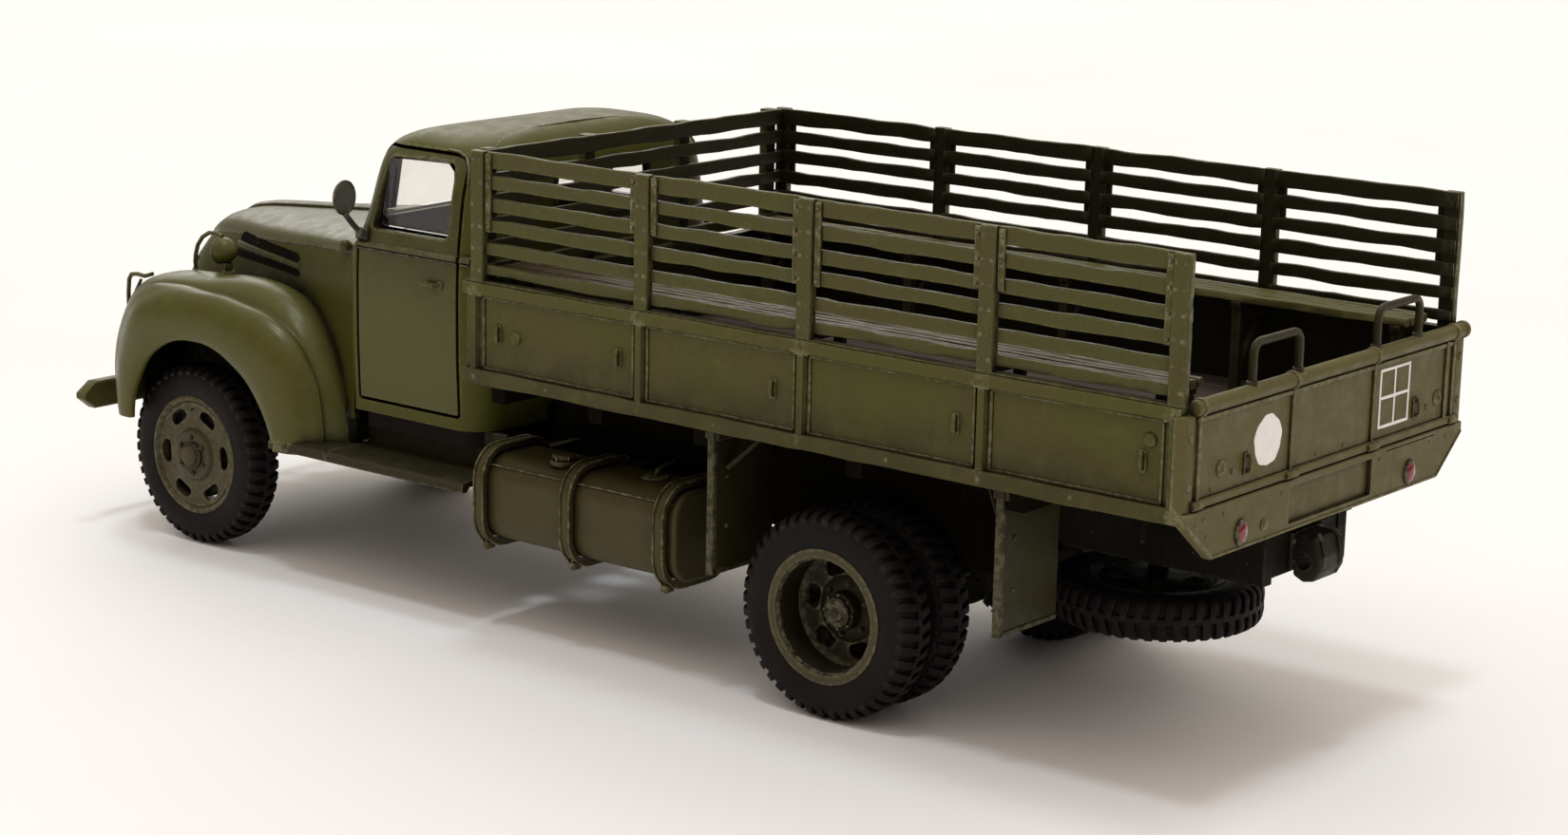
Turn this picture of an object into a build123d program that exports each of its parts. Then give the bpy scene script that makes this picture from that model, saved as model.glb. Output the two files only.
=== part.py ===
from build123d import *
import os

# Scale model of a light 4x2 military cargo truck, 1:72.
# Millimetres.  X = the truck's left, Y = backwards, Z = up.
# Origin: on the ground, under the middle of the bounding box.

# ---------------------------------------------------------------- driving dimensions
rear_axle_y = 21.0           # rear axle station
wheelbase = 55.7
front_axle_y = rear_axle_y - wheelbase
tyre_radius = 6.2
hub_z = tyre_radius
tyre_width = 2.7
rim_radius = 4.0             # outer lip of the rim
rim_seat_radius = 3.55       # where the tyre bead sits
front_wheel_x = 11.0         # middle plane of the front tyres
rear_outer_x = 12.7          # middle planes of the twin rear tyres
rear_inner_x = 8.9
spindle_radius = 0.7
running_clearance = 0.05

frame_half_width = 4.5       # outer faces of the chassis rails
rail_thickness = 0.9

cab_half_width = 11.7
cab_front_y = rear_axle_y - 40.9
cab_rear_y = rear_axle_y - 29.5
cab_floor_z = 11.7
cab_wall = 0.8
belt_z = 22.8
door_front_y = rear_axle_y - 40.2
door_rear_y = rear_axle_y - 31.15

bed_half_width = 15.3
bed_front_y = rear_axle_y - 27.3
bed_rear_y = rear_axle_y + 23.95
bed_floor_z = 17.3           # top of the planks
side_bottom_z = 16.1
side_top_z = 22.4
rack_top_z = 30.4
post_width = 1.05
post_stations = [rear_axle_y + y for y in (-26.4, -13.2, -1.1, 11.35, 23.4)]
board_z = [(29.4, 30.4), (28.15, 28.95), (26.8, 27.6), (25.45, 26.25), (24.1, 24.85), (22.75, 23.45)]


def y_from_axle(y):
    return rear_axle_y + y


def side_profile(points):
    """Closed polygon in the YZ plane from (y behind the rear axle, z) pairs."""
    return [(y_from_axle(y), z) for y, z in points]


# ---------------------------------------------------------------- chassis
rail_outline = side_profile([
    (-66.0, 7.9), (-66.0, 9.5), (-46.0, 10.6), (-38.0, 13.3), (23.2, 13.3),
    (23.2, 10.5), (10.0, 10.5), (8.8, 11.3), (-8.6, 11.3), (-10.6, 10.0), (-35.5, 10.0), (-44.5, 8.9), (-54.0, 8.3),
])
with BuildPart() as frame_rails:
    for rail_x in (-frame_half_width, frame_half_width - rail_thickness):
        with BuildSketch(Plane.YZ.offset(rail_x)):
            with BuildLine():
                Polyline(*rail_outline, close=True)
            make_face()
        extrude(amount=rail_thickness)

# y, bottom z, top z, thickness along the truck
crossmember_table = [
    (-63.6, 8.2, 9.4, 1.0),
    (-30.0, 11.7, 13.0, 0.9),
    (-17.0, 11.6, 13.0, 0.9),
    (-5.0, 11.8, 13.0, 0.9),
    (8.0, 11.8, 13.0, 0.9),
    (22.5, 10.8, 13.1, 1.2),
]
with BuildPart() as crossmembers:
    inner = 2 * (frame_half_width - rail_thickness)
    for y, z0, z1, t in crossmember_table:
        with Locations((0, y_from_axle(y), (z0 + z1) / 2)):
            Box(inner, t, z1 - z0)

# ---------------------------------------------------------------- bumper
bumper_half_length = 13.0
bumper_z, bumper_height = 8.75, 1.9
with BuildPart() as front_bumper:
    with BuildSketch(Plane.XZ.offset(-y_from_axle(-66.9))):
        with Locations((0, bumper_z)):
            SlotOverall(2 * bumper_half_length, bumper_height)
    extrude(amount=-0.9)

# ---------------------------------------------------------------- axles and springs
spindle_end_front = front_wheel_x + 1.0
with BuildPart() as front_axle:
    with Locations((0, front_axle_y, hub_z - 0.4)):
        Box(13.0, 0.9, 1.1)
    for side in (-1, 1):
        with Locations((side * 7.0, front_axle_y, hub_z)):
            Box(1.6, 1.5, 2.8)
        with BuildSketch(Plane.YZ.offset(side * 7.0)):
            with Locations((front_axle_y, hub_z)):
                Circle(spindle_radius)
        extrude(amount=side * (spindle_end_front - 7.0))

spindle_end_rear = rear_outer_x - 0.1
with BuildPart() as rear_axle:
    with BuildSketch(Plane.YZ.offset(-7.0)):
        with Locations((rear_axle_y, hub_z)):
            Circle(0.95)
    extrude(amount=14.0)
    with Locations((0, rear_axle_y, hub_z)):
        Sphere(2.1)
    for side in (-1, 1):
        with BuildSketch(Plane.YZ.offset(side * 7.0)):
            with Locations((rear_axle_y, hub_z)):
                Circle(spindle_radius)
        extrude(amount=side * (spindle_end_rear - 7.0))

# station, half length, underside at the seat, underside at the eyes, thickness at the seat
spring_table = [
    (front_axle_y, 6.6, 6.4, 7.35, 0.9),
    (rear_axle_y, 7.6, 7.2, 10.75, 1.0),
]
spring_x = 4.05
spring_end = 0.45
with BuildPart() as leaf_springs:
    for y, half, z_seat, z_eye, seat_thickness in spring_table:
        for side in (-1, 1):
            with BuildSketch(Plane.YZ.offset(side * spring_x - 0.4)):
                with BuildLine():
                    ThreePointArc((y - half, z_eye), (y, z_seat), (y + half, z_eye))
                    Line((y + half, z_eye), (y + half, z_eye + spring_end))
                    ThreePointArc((y + half, z_eye + spring_end), (y, z_seat + seat_thickness), (y - half, z_eye + spring_end))
                    Line((y - half, z_eye + spring_end), (y - half, z_eye))
                make_face()
            extrude(amount=0.8)

# ---------------------------------------------------------------- engine and driveline
with BuildPart() as engine_block:
    with Locations((0, y_from_axle(-52.6), 13.3)):
        Box(6.4, 11.4, 6.2)
    with Locations((0, y_from_axle(-43.4), 11.9)):
        Box(3.6, 7.0, 3.0)

with BuildPart() as propeller_shaft:
    shaft_start = (0, y_from_axle(-39.7), 11.3)
    shaft_end = (0, y_from_axle(-2.6), 6.9)
    with BuildLine() as shaft_line:
        Line(shaft_start, shaft_end)
    with BuildSketch(Plane(origin=shaft_start, z_dir=shaft_line.line % 0)):
        Circle(0.6)
    sweep(path=shaft_line.line)

with BuildPart() as exhaust_silencer:
    with BuildSketch(Plane.XZ.offset(-y_from_axle(-30.0))):
        with Locations((-7.0, 9.2)):
            Ellipse(1.6, 1.1)
    extrude(amount=-9.0)
    with BuildSketch(Plane.XZ.offset(-y_from_axle(-21.5))):
        with Locations((-7.0, 9.2)):
            Circle(0.45)
    extrude(amount=-10.0)

# ---------------------------------------------------------------- cab
# Side outline, front outline and plan; the cab is where the three meet.
cab_side_run = [
    (-29.5, 11.7), (-29.5, 26.5), (-29.56, 27.9), (-29.75, 28.7), (-30.1, 29.3), (-30.65, 29.75), (-31.3, 30.08), (-31.9, 30.3), (-32.7, 30.44), (-33.5, 30.5),
    (-34.6, 30.5), (-35.2, 30.44), (-36.3, 30.3), (-37.55, 30.08), (-38.75, 29.75), (-39.4, 29.3), (-39.62, 28.7), (-39.76, 27.9),
    (-40.0, 26.5), (-40.42, 24.4), (-40.75, 23.0), (-40.9, 22.4), (-40.9, 11.7),
]
cab_front_half = [
    (11.5, 11.7), (11.62, 14.5), (11.7, 17.0), (11.7, 20.0), (11.62, 22.4), (11.57, 23.0), (11.43, 24.4), (11.18, 26.5), (10.84, 27.9),
    (10.44, 28.7), (9.9, 29.3), (9.05, 29.75), (7.65, 30.08), (5.7, 30.3), (3.4, 30.45), (1.2, 30.5),
]
cab_front_run = cab_front_half + [(-x, z) for x, z in reversed(cab_front_half)]


def drawn_in(run, d):
    """An open outline that starts and ends on vertical edges, moved d inside itself and opened below."""
    moved = []
    for k, (a, b) in enumerate(run):
        normals = []
        for p, q in ((k - 1, k), (k, k + 1)):
            if p >= 0 and q < len(run):
                du, dv = run[q][0] - run[p][0], run[q][1] - run[p][1]
                length = (du * du + dv * dv) ** 0.5
                normals.append((-dv / length, du / length))
        nu, nv = sum(n[0] for n in normals) / len(normals), sum(n[1] for n in normals) / len(normals)
        size = nu * nu + nv * nv
        moved.append((a + d * nu / size, b + d * nv / size))
    moved[0] = (moved[0][0], run[0][1] - 0.7)
    moved[-1] = (moved[-1][0], run[-1][1] - 0.7)
    return moved


def cab_plan(d, corner):
    """Rounded plan of the cab, d inside its skin; the front corners are square below the belt."""
    half, depth = cab_half_width - d + 0.15, cab_rear_y - cab_front_y - 2 * d + 0.3
    with BuildPart(mode=Mode.PRIVATE) as plan:
        with BuildSketch(Plane.XY.offset(10)):
            with Locations((0, (cab_front_y + cab_rear_y) / 2)):
                RectangleRounded(2 * half, depth, corner)
            with Locations((0, cab_front_y + d + 3.35)):
                RectangleRounded(2 * half, 7.0, corner * 0.75)
        extrude(amount=22)
        with Locations((0, cab_front_y + d + 2.35, (10 + belt_z) / 2)):
            Box(2 * half, 5.0, belt_z - 10)
    return plan.part


with BuildPart() as cab_outer:
    with BuildSketch(Plane.YZ.offset(-12)):
        with BuildLine():
            Polyline(*side_profile(cab_side_run), close=True)
        make_face()
    extrude(amount=24)
    with BuildSketch(Plane.XZ.offset(-cab_front_y + 1)):
        with BuildLine():
            Polyline(*cab_front_run, close=True)
        make_face()
    extrude(amount=-14, mode=Mode.INTERSECT)
    add(cab_plan(0, 2.3), mode=Mode.INTERSECT)

with BuildPart() as cab_inner:
    with BuildSketch(Plane.YZ.offset(-12)):
        with BuildLine():
            Polyline(*side_profile(drawn_in(cab_side_run, cab_wall)), close=True)
        make_face()
    extrude(amount=24)
    with BuildSketch(Plane.XZ.offset(-cab_front_y + 1)):
        with BuildLine():
            Polyline(*drawn_in(cab_front_run, cab_wall), close=True)
        make_face()
    extrude(amount=-14, mode=Mode.INTERSECT)
    add(cab_plan(cab_wall, 1.5), mode=Mode.INTERSECT)

with BuildPart() as cab_shell:
    add(cab_outer.part)
    add(cab_inner.part, mode=Mode.SUBTRACT)

door_outline = side_profile([
    (-40.25, 12.45), (-40.25, 22.7), (-39.45, 28.2), (-38.75, 28.95), (-32.2, 28.95), (-31.5, 28.45), (-31.15, 27.7), (-31.15, 12.45),
])
window_outline = side_profile([
    (-39.0, 23.8), (-38.1, 28.2), (-37.8, 28.45), (-32.75, 28.6), (-32.25, 28.1), (-32.2, 23.8),
])

doors = {}
for door_name, x_start in (("door_left", 9.4), ("door_right", -13.4)):
    with BuildPart() as door:
        with BuildSketch(Plane.YZ.offset(x_start)):
            with BuildLine():
                Polyline(*door_outline, close=True)
            make_face()
        extrude(amount=4.0)
        add(cab_shell.part, mode=Mode.INTERSECT)
        with BuildSketch(Plane.YZ.offset(x_start)):
            with BuildLine():
                Polyline(*window_outline, close=True)
            make_face()
        extrude(amount=4.0, mode=Mode.SUBTRACT)
    doors[door_name] = door

with BuildPart() as cab_without_doors:
    add(cab_shell.part)
    for x_start in (9.4, -13.4):
        with BuildSketch(Plane.YZ.offset(x_start)):
            with BuildLine():
                Polyline(*door_outline, close=True)
            make_face()
        extrude(amount=4.0, mode=Mode.SUBTRACT)

roof_split_z = 28.95
with BuildPart() as cab_roof:
    add(cab_without_doors.part)
    with Locations((0, (cab_front_y + cab_rear_y) / 2, roof_split_z + 2.0)):
        Box(30, 20, 4.0, mode=Mode.INTERSECT)

with BuildPart() as cab_back:
    add(cab_without_doors.part)
    with Locations((0, door_rear_y + 4.0, (cab_floor_z + roof_split_z) / 2)):
        Box(30, 8.0, roof_split_z - cab_floor_z, mode=Mode.INTERSECT)
    with Locations((0, cab_rear_y, cab_floor_z + 0.9)):
        Box(10.4, 4.0, 1.8, mode=Mode.SUBTRACT)
    with Locations((0, cab_rear_y, 26.2)):
        Box(9.0, 4.0, 3.4, mode=Mode.SUBTRACT)

with BuildPart() as cab_front_panel:
    add(cab_without_doors.part)
    with Locations((0, door_rear_y - 7.0, (cab_floor_z + roof_split_z) / 2)):
        Box(30, 14.0, roof_split_z - cab_floor_z, mode=Mode.INTERSECT)
    with Locations((0, cab_front_y, cab_floor_z + 1.3)):
        Box(10.4, 4.0, 2.6, mode=Mode.SUBTRACT)
    for side in (-1, 1):
        with Locations((side * 4.85, y_from_axle(-38.8), 26.5)):
            Box(8.9, 4.6, 3.7, mode=Mode.SUBTRACT)

with BuildPart() as cab_floor:
    with BuildSketch(Plane.XY.offset(13.5)):
        with Locations((0, (cab_front_y + cab_rear_y) / 2)):
            RectangleRounded(21.3, cab_rear_y - cab_front_y - 1.7, 1.2)
    extrude(amount=0.6)

with BuildPart() as dashboard:
    with Locations((0, y_from_axle(-38.95), 21.85)):
        Box(20.4, 1.5, 2.0)

with BuildPart() as steering_wheel:
    wheel_plane = Plane(origin=(4.6, y_from_axle(-36.6), 22.0), z_dir=(0, 0.62, 0.78))
    with BuildSketch(wheel_plane):
        Circle(2.5)
        Circle(2.05, mode=Mode.SUBTRACT)
        Rectangle(4.4, 0.45)
        Rectangle(0.45, 4.4)
        Circle(0.55)
    extrude(amount=0.45)
    with BuildSketch(wheel_plane):
        Circle(0.3)
    extrude(amount=-3.4)

with BuildPart() as cab_bench:
    with Locations((0, y_from_axle(-33.2), 17.1)):
        Box(20.0, 4.6, 2.0)
    with Locations((0, y_from_axle(-31.1), 19.8)):
        Box(20.0, 1.2, 6.0)
    with Locations((0, y_from_axle(-33.2), 15.15)):
        Box(19.0, 3.6, 2.1)

glass_thickness = 0.25
with BuildPart() as cab_glass:
    for side in (-1, 1):
        with BuildSketch(Plane.YZ.offset(side * 10.55)):
            with BuildLine():
                Polyline(*side_profile([(-38.88, 23.9), (-38.02, 28.12), (-37.76, 28.35), (-32.8, 28.5), (-32.35, 28.05), (-32.3, 23.9)]), close=True)
            make_face()
        extrude(amount=glass_thickness, both=True)
    with Locations((0, cab_rear_y - 0.4, 26.2)):
        Box(9.0, glass_thickness, 3.4)
    for x_start in (0.4, -9.3):
        with BuildSketch(Plane.YZ.offset(x_start)):
            with BuildLine():
                Polyline(*side_profile([(-40.1, 24.65), (-39.85, 24.65), (-39.15, 28.35), (-39.4, 28.35)]), close=True)
            make_face()
        extrude(amount=8.9)

# ---------------------------------------------------------------- hood and nose
# y behind the rear axle; half widths at the bottom, at mid height and at the seam; seam z; crown z
nose_bottom_z, nose_mid_z = 10.8, 15.6
nose_sections = [
    (-41.0, 11.1, 11.2, 10.4, 21.6, 23.0),
    (-43.0, 10.3, 10.5, 9.75, 21.5, 22.9),
    (-46.0, 9.3, 9.6, 8.8, 21.3, 22.65),
    (-49.0, 8.4, 8.5, 7.95, 21.05, 22.45),
    (-52.0, 7.6, 7.7, 7.1, 20.75, 22.2),
    (-58.0, 6.8, 6.6, 5.2, 20.3, 21.7),
    (-62.0, 6.3, 5.9, 3.9, 19.9, 21.2),
    (-64.4, 5.4, 4.8, 2.6, 19.4, 20.2),
]
nose_wall = 0.7


def hood_section(half, z_seam, z_crown):
    rise = z_crown - z_seam
    right = [(half, z_seam), (half * 0.93, z_seam + 0.45 * rise), (half * 0.75, z_seam + 0.75 * rise), (half * 0.42, z_seam + 0.94 * rise), (0, z_crown)]
    return right + [(-x, z) for x, z in reversed(right[:-1])]


def nose_section(low, mid, half, z_seam, z_low):
    right = [(low, z_low), (mid, nose_mid_z), (half, z_seam)]
    return right + [(-x, z) for x, z in reversed(right)]


def lofted(sections):
    """Ruled loft through (y behind the rear axle, [(x, z), ...]) sections."""
    with BuildPart(mode=Mode.PRIVATE) as body:
        for y, points in sections:
            with BuildSketch(Plane.XZ.offset(-y_from_axle(y))):
                with BuildLine():
                    Polyline(*points, close=True)
                make_face()
        loft(ruled=True)
    return body.part


with BuildPart() as nose_envelope:
    add(lofted([(y, nose_section(low, mid, half, seam, nose_bottom_z)) for y, low, mid, half, seam, crown in nose_sections]))

with BuildPart() as hood:
    add(lofted([(y, hood_section(half, seam, crown)) for y, low, mid, half, seam, crown in nose_sections]))
    add(lofted([(y + (0.1 if y == -41.0 else 0) + (nose_wall if y == -64.4 else 0), hood_section(half - nose_wall, seam - 0.3, crown - nose_wall))
                for y, low, mid, half, seam, crown in nose_sections]), mode=Mode.SUBTRACT)

with BuildPart() as nose_shell:
    add(nose_envelope.part)
    add(lofted([(y + (0.1 if y == -41.0 else 0) + (nose_wall if y == -64.4 else 0), nose_section(low - nose_wall, mid - nose_wall, half - nose_wall, seam + 0.2, nose_bottom_z - 1.0))
                for y, low, mid, half, seam, crown in nose_sections]), mode=Mode.SUBTRACT)

with BuildPart() as grille_bars:
    for i in range(-3, 4):
        with Locations((i * 0.8, y_from_axle(-64.6), 14.9)):
            Box(0.35, 0.4, 7.0)

# ---------------------------------------------------------------- fenders and running boards
# Side outline, plan and front outline; a fender is a hollow shell where the three meet.
fender_wall = 0.7
fender_outline = side_profile([
    (-64.0, 8.4), (-64.5, 11.0), (-64.1, 13.8), (-62.9, 16.2), (-61.1, 17.5), (-59.1, 18.15), (-54.8, 18.45), (-51.9, 18.67),
    (-49.2, 18.4), (-46.4, 17.4), (-44.6, 16.0), (-42.8, 13.8), (-41.6, 11.2), (-41.1, 8.6),
])
fender_inner = side_profile([
    (-63.2, 7.0), (-63.3, 8.4), (-63.8, 11.0), (-63.4, 13.5), (-62.4, 15.65), (-60.85, 16.8), (-59.0, 17.45), (-54.7, 17.75), (-51.95, 17.95),
    (-49.4, 17.7), (-46.75, 16.8), (-45.1, 15.5), (-43.4, 13.5), (-42.3, 11.0), (-41.8, 8.6), (-41.8, 7.0),
])
fender_plan = [
    (6.4, -65.2), (9.0, -64.8), (11.3, -63.8), (13.0, -62.1), (13.8, -60.3), (14.0, -58.0), (14.0, -47.5), (13.7, -45.2), (12.8, -43.0), (11.75, -40.5), (6.4, -40.5),
]
fender_plan_inner = [
    (5.0, -64.5), (8.8, -64.1), (10.95, -63.2), (12.35, -61.75), (13.1, -60.0), (13.3, -58.0), (13.3, -47.6), (13.05, -45.4), (12.2, -43.3), (11.2, -41.0), (5.0, -41.0),
]
fender_section = [(6.4, 8.4), (14.0, 8.4), (14.0, 15.4), (13.7, 16.6), (13.2, 17.35), (12.5, 17.6), (11.9, 17.85), (11.2, 18.4), (10.3, 18.68), (6.4, 18.68)]
fender_section_inner = [(5.0, 7.0), (13.3, 7.0), (13.3, 15.3), (13.05, 16.2), (12.7, 16.7), (12.3, 16.95), (11.6, 17.2), (11.0, 17.7), (10.2, 17.98), (5.0, 17.98)]
arch_outline = side_profile([
    (-60.4, 7.0), (-60.1, 9.4), (-59.5, 11.2), (-58.2, 13.0), (-56.3, 14.2), (-54.4, 14.6), (-52.0, 14.4), (-49.8, 13.6),
    (-48.1, 12.1), (-47.0, 10.4), (-46.0, 7.0),
])
fenders = {}
for fender_name, side in (("fender_left", 1), ("fender_right", -1)):
    with BuildPart() as fender_hollow:
        with BuildSketch(Plane.YZ.offset(side * 4.0)):
            with BuildLine():
                Polyline(*fender_inner, close=True)
            make_face()
        extrude(amount=side * 11.0)
        with BuildSketch(Plane.XY.offset(6.0)):
            with BuildLine():
                Polyline(*[(side * x, y_from_axle(y)) for x, y in fender_plan_inner], close=True)
            make_face()
        extrude(amount=14.0, mode=Mode.INTERSECT)
        with BuildSketch(Plane.XZ.offset(-y_from_axle(-66.0))):
            with BuildLine():
                Polyline(*[(side * x, z) for x, z in fender_section_inner], close=True)
            make_face()
        extrude(amount=-27.0, mode=Mode.INTERSECT)
    with BuildPart() as fender:
        with BuildSketch(Plane.YZ.offset(side * 6.4)):
            with BuildLine():
                Polyline(*fender_outline, close=True)
            make_face()
        extrude(amount=side * 8.0)
        with BuildSketch(Plane.XY.offset(7.0)):
            with BuildLine():
                Polyline(*[(side * x, y_from_axle(y)) for x, y in fender_plan], close=True)
            make_face()
        extrude(amount=13.0, mode=Mode.INTERSECT)
        with BuildSketch(Plane.XZ.offset(-y_from_axle(-66.0))):
            with BuildLine():
                Polyline(*[(side * x, z) for x, z in fender_section], close=True)
            make_face()
        extrude(amount=-27.0, mode=Mode.INTERSECT)
        add(fender_hollow.part, mode=Mode.SUBTRACT)
        with BuildSketch(Plane.YZ.offset(side * 12.9)):
            with BuildLine():
                Polyline(*arch_outline, close=True)
            make_face()
        extrude(amount=side * 1.6, mode=Mode.SUBTRACT)
        add(nose_envelope.part, mode=Mode.SUBTRACT)
        with Locations((side * 10.0, cab_front_y + 5.0, 12.0)):
            Box(12.0, 10.0, 20.0, mode=Mode.SUBTRACT)
    fenders[fender_name] = fender

with BuildPart() as running_boards:
    for side in (-1, 1):
        with Locations((side * 12.0, y_from_axle(-34.7), 8.85)):
            Box(4.0, 12.2, 0.7)
        with Locations((side * 10.25, y_from_axle(-34.7), 10.3)):
            Box(0.5, 12.2, 2.6)

# ---------------------------------------------------------------- lamps, guards, mirror
lamp_x, lamp_y, lamp_z = 8.5, y_from_axle(-56.1), 19.75
with BuildPart() as headlights:
    for side in (-1, 1):
        with BuildSketch(Plane.XZ.offset(-(lamp_y - 0.7))):
            with Locations((side * lamp_x, lamp_z)):
                Circle(0.95)
        extrude(amount=-0.7)
        with Locations((side * lamp_x, lamp_y, lamp_z)):
            Sphere(0.9)
        with Locations((side * lamp_x, lamp_y + 0.1, lamp_z - 1.0)):
            Cylinder(0.3, 0.7)

guard_wire = 0.35
with BuildPart() as lamp_guards:
    for side in (-1, 1):
        with BuildSketch(Plane.YZ.offset(side * lamp_x - guard_wire / 2)):
            with BuildLine():
                Polyline(*side_profile([
                    (-56.6, 20.95), (-57.9, 20.95), (-58.8, 20.45), (-59.3, 19.6), (-59.45, 18.35), (-59.1, 18.35),
                    (-58.95, 19.5), (-58.55, 20.15), (-57.8, 20.6), (-57.0, 20.71), (-56.6, 20.71),
                ]), close=True)
            make_face()
        extrude(amount=guard_wire)

mirror_x, mirror_y, mirror_z = 12.4, y_from_axle(-40.6), 25.8
with BuildPart() as door_mirror:
    with BuildSketch(Plane.XZ.offset(-(mirror_y - 0.25))):
        with Locations((mirror_x, mirror_z)):
            Ellipse(0.85, 1.15)
    extrude(amount=-0.5)
    with BuildLine() as arm_line:
        Line((mirror_x, mirror_y, mirror_z - 0.9), (11.75, mirror_y + 0.15, 23.2))
    with BuildSketch(Plane(origin=arm_line.line @ 0, z_dir=arm_line.line % 0)):
        Circle(0.22)
    sweep(path=arm_line.line)

# ---------------------------------------------------------------- fuel tank
tank_front_y, tank_rear_y = y_from_axle(-28.1), y_from_axle(-11.6)
with BuildPart() as fuel_tank:
    with BuildSketch(Plane.XZ.offset(-tank_front_y)):
        with Locations((10.6, 8.4)):
            RectangleRounded(5.6, 5.6, 1.6)
    extrude(amount=-(tank_rear_y - tank_front_y))
    with Locations((11.6, y_from_axle(-22.2), 11.4)):
        Cylinder(0.9, 0.6)

with BuildPart() as tank_straps:
    for y in (-27.3, -20.1, -12.5):
        with BuildSketch(Plane.XZ.offset(-y_from_axle(y) + 0.55)):
            with Locations((10.6, 8.4)):
                RectangleRounded(6.5, 6.5, 1.9)
                RectangleRounded(5.6, 5.6, 1.6, mode=Mode.SUBTRACT)
        extrude(amount=-1.1)
    # bearer between the chassis rail and the straps
    with Locations((5.95, y_from_axle(-21.9), 9.8)):
        Box(2.9, 19.2, 1.0)

# ---------------------------------------------------------------- mud boards
with BuildPart() as mud_boards:
    for y, z_low in ((-8.3, 7.2), (12.2, 7.5)):
        for side in (-1, 1):
            with Locations((side * 11.35, y_from_axle(y), (z_low + 16.0) / 2)):
                Box(5.7, 0.5, 16.0 - z_low)
    # splash boards between the wheels and the chassis, hung from the cross sills
    for side in (-1, 1):
        with Locations((side * 7.2, y_from_axle(-0.9), 11.8)):
            Box(0.3, 17.8, 6.0)

# ---------------------------------------------------------------- cargo bed
with BuildPart() as long_sills:
    for side in (-1, 1):
        with Locations((side * 4.05, (bed_front_y + bed_rear_y) / 2, 14.05)):
            Box(1.1, bed_rear_y - bed_front_y - 1.0, 1.5)

with BuildPart() as cross_sills:
    for y in (-25.5, -17.5, -9.2, 2.0, 13.1, 21.5):
        with Locations((0, y_from_axle(y), 15.55)):
            Box(28.0, 1.1, 1.5)

with BuildPart() as bed_floor:
    with Locations((0, (bed_front_y + bed_rear_y) / 2, bed_floor_z - 0.5)):
        Box(28.6, bed_rear_y - bed_front_y, 1.0)

bed_sides = {}
for side_name, side in (("bed_side_left", 1), ("bed_side_right", -1)):
    with BuildPart() as bed_side:
        mid_y = (bed_front_y + bed_rear_y) / 2
        length = bed_rear_y - bed_front_y
        with Locations((side * 14.8, mid_y, side_bottom_z + 0.5)):
            Box(1.0, length, 1.0)
        with Locations((side * 14.8, mid_y, side_top_z - 0.4)):
            Box(1.0, length, 0.8)
        with Locations((side * 14.6, mid_y, (side_bottom_z + side_top_z) / 2)):
            Box(0.6, length, side_top_z - side_bottom_z)
        for y in post_stations:
            with Locations((side * 14.8, y, (side_bottom_z + side_top_z) / 2)):
                Box(1.0, post_width, side_top_z - side_bottom_z)
    bed_sides[side_name] = bed_side

with BuildPart() as bed_front:
    with Locations((0, bed_front_y + 0.4, (bed_floor_z + side_top_z) / 2)):
        Box(28.6, 0.8, side_top_z - bed_floor_z)

racks = {}
for rack_name, side in (("rack_left", 1), ("rack_right", -1)):
    with BuildPart() as rack:
        rack_start = post_stations[0] - post_width / 2
        rack_end = post_stations[-1] + post_width / 2
        for y in post_stations:
            with Locations((side * 14.75, y, (side_top_z + rack_top_z) / 2)):
                Box(0.8, post_width, rack_top_z - side_top_z)
        for z0, z1 in board_z:
            with Locations((side * 14.45, (rack_start + rack_end) / 2, (z0 + z1) / 2)):
                Box(0.6, rack_end - rack_start, z1 - z0)
    racks[rack_name] = rack

with BuildPart() as rack_front:
    for x in (-13.4, -4.6, 4.6, 13.4):
        with Locations((x, y_from_axle(-26.75), (side_top_z + rack_top_z) / 2)):
            Box(0.9, 0.9, rack_top_z - side_top_z)
    for z0, z1 in board_z:
        with Locations((0, y_from_axle(-26.5), (z0 + z1) / 2)):
            Box(27.9, 0.5, z1 - z0)

benches = {}
for bench_name, side in (("bench_left", 1), ("bench_right", -1)):
    with BuildPart() as bench:
        for x in (11.5, 12.45, 13.4):
            with Locations((side * x, y_from_axle(-1.6), 22.85)):
                Box(0.7, 48.4, 0.5)
        for y in (-25.0, -13.2, -1.1, 11.35, 22.0):
            with Locations((side * 12.5, y_from_axle(y), 22.35)):
                Box(3.0, 0.7, 0.6)
            with Locations((side * 11.5, y_from_axle(y), (bed_floor_z + 22.3) / 2)):
                Box(0.6, 0.7, 22.3 - bed_floor_z)
    benches[bench_name] = bench

# ---------------------------------------------------------------- tailgate and rear
tail_y = bed_rear_y + 0.35
with BuildPart() as tailgate:
    with Locations((0, tail_y + 0.05, 19.5)):
        Box(28.4, 0.5, 5.0)
    with Locations((0, tail_y + 0.05, 17.2)):
        Box(28.4, 0.7, 0.6)
    for x in (-13.8, -4.5, 4.5, 13.8):
        with Locations((x, tail_y + 0.1, 19.5)):
            Box(0.6, 0.7, 5.0)
    with BuildSketch(Plane.YZ.offset(-15.2)):
        with Locations((tail_y + 0.15, 22.35)):
            Circle(0.45)
    extrude(amount=29.5)

with BuildPart() as tailgate_handles:
    for x in (-7.2, 6.3):
        for end in (-1, 1):
            with Locations((x + end * 2.35, tail_y + 0.1, 23.75)):
                Box(0.5, 0.5, 1.8)
        with Locations((x, tail_y + 0.1, 24.9)):
            Box(5.2, 0.5, 0.5)

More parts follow.
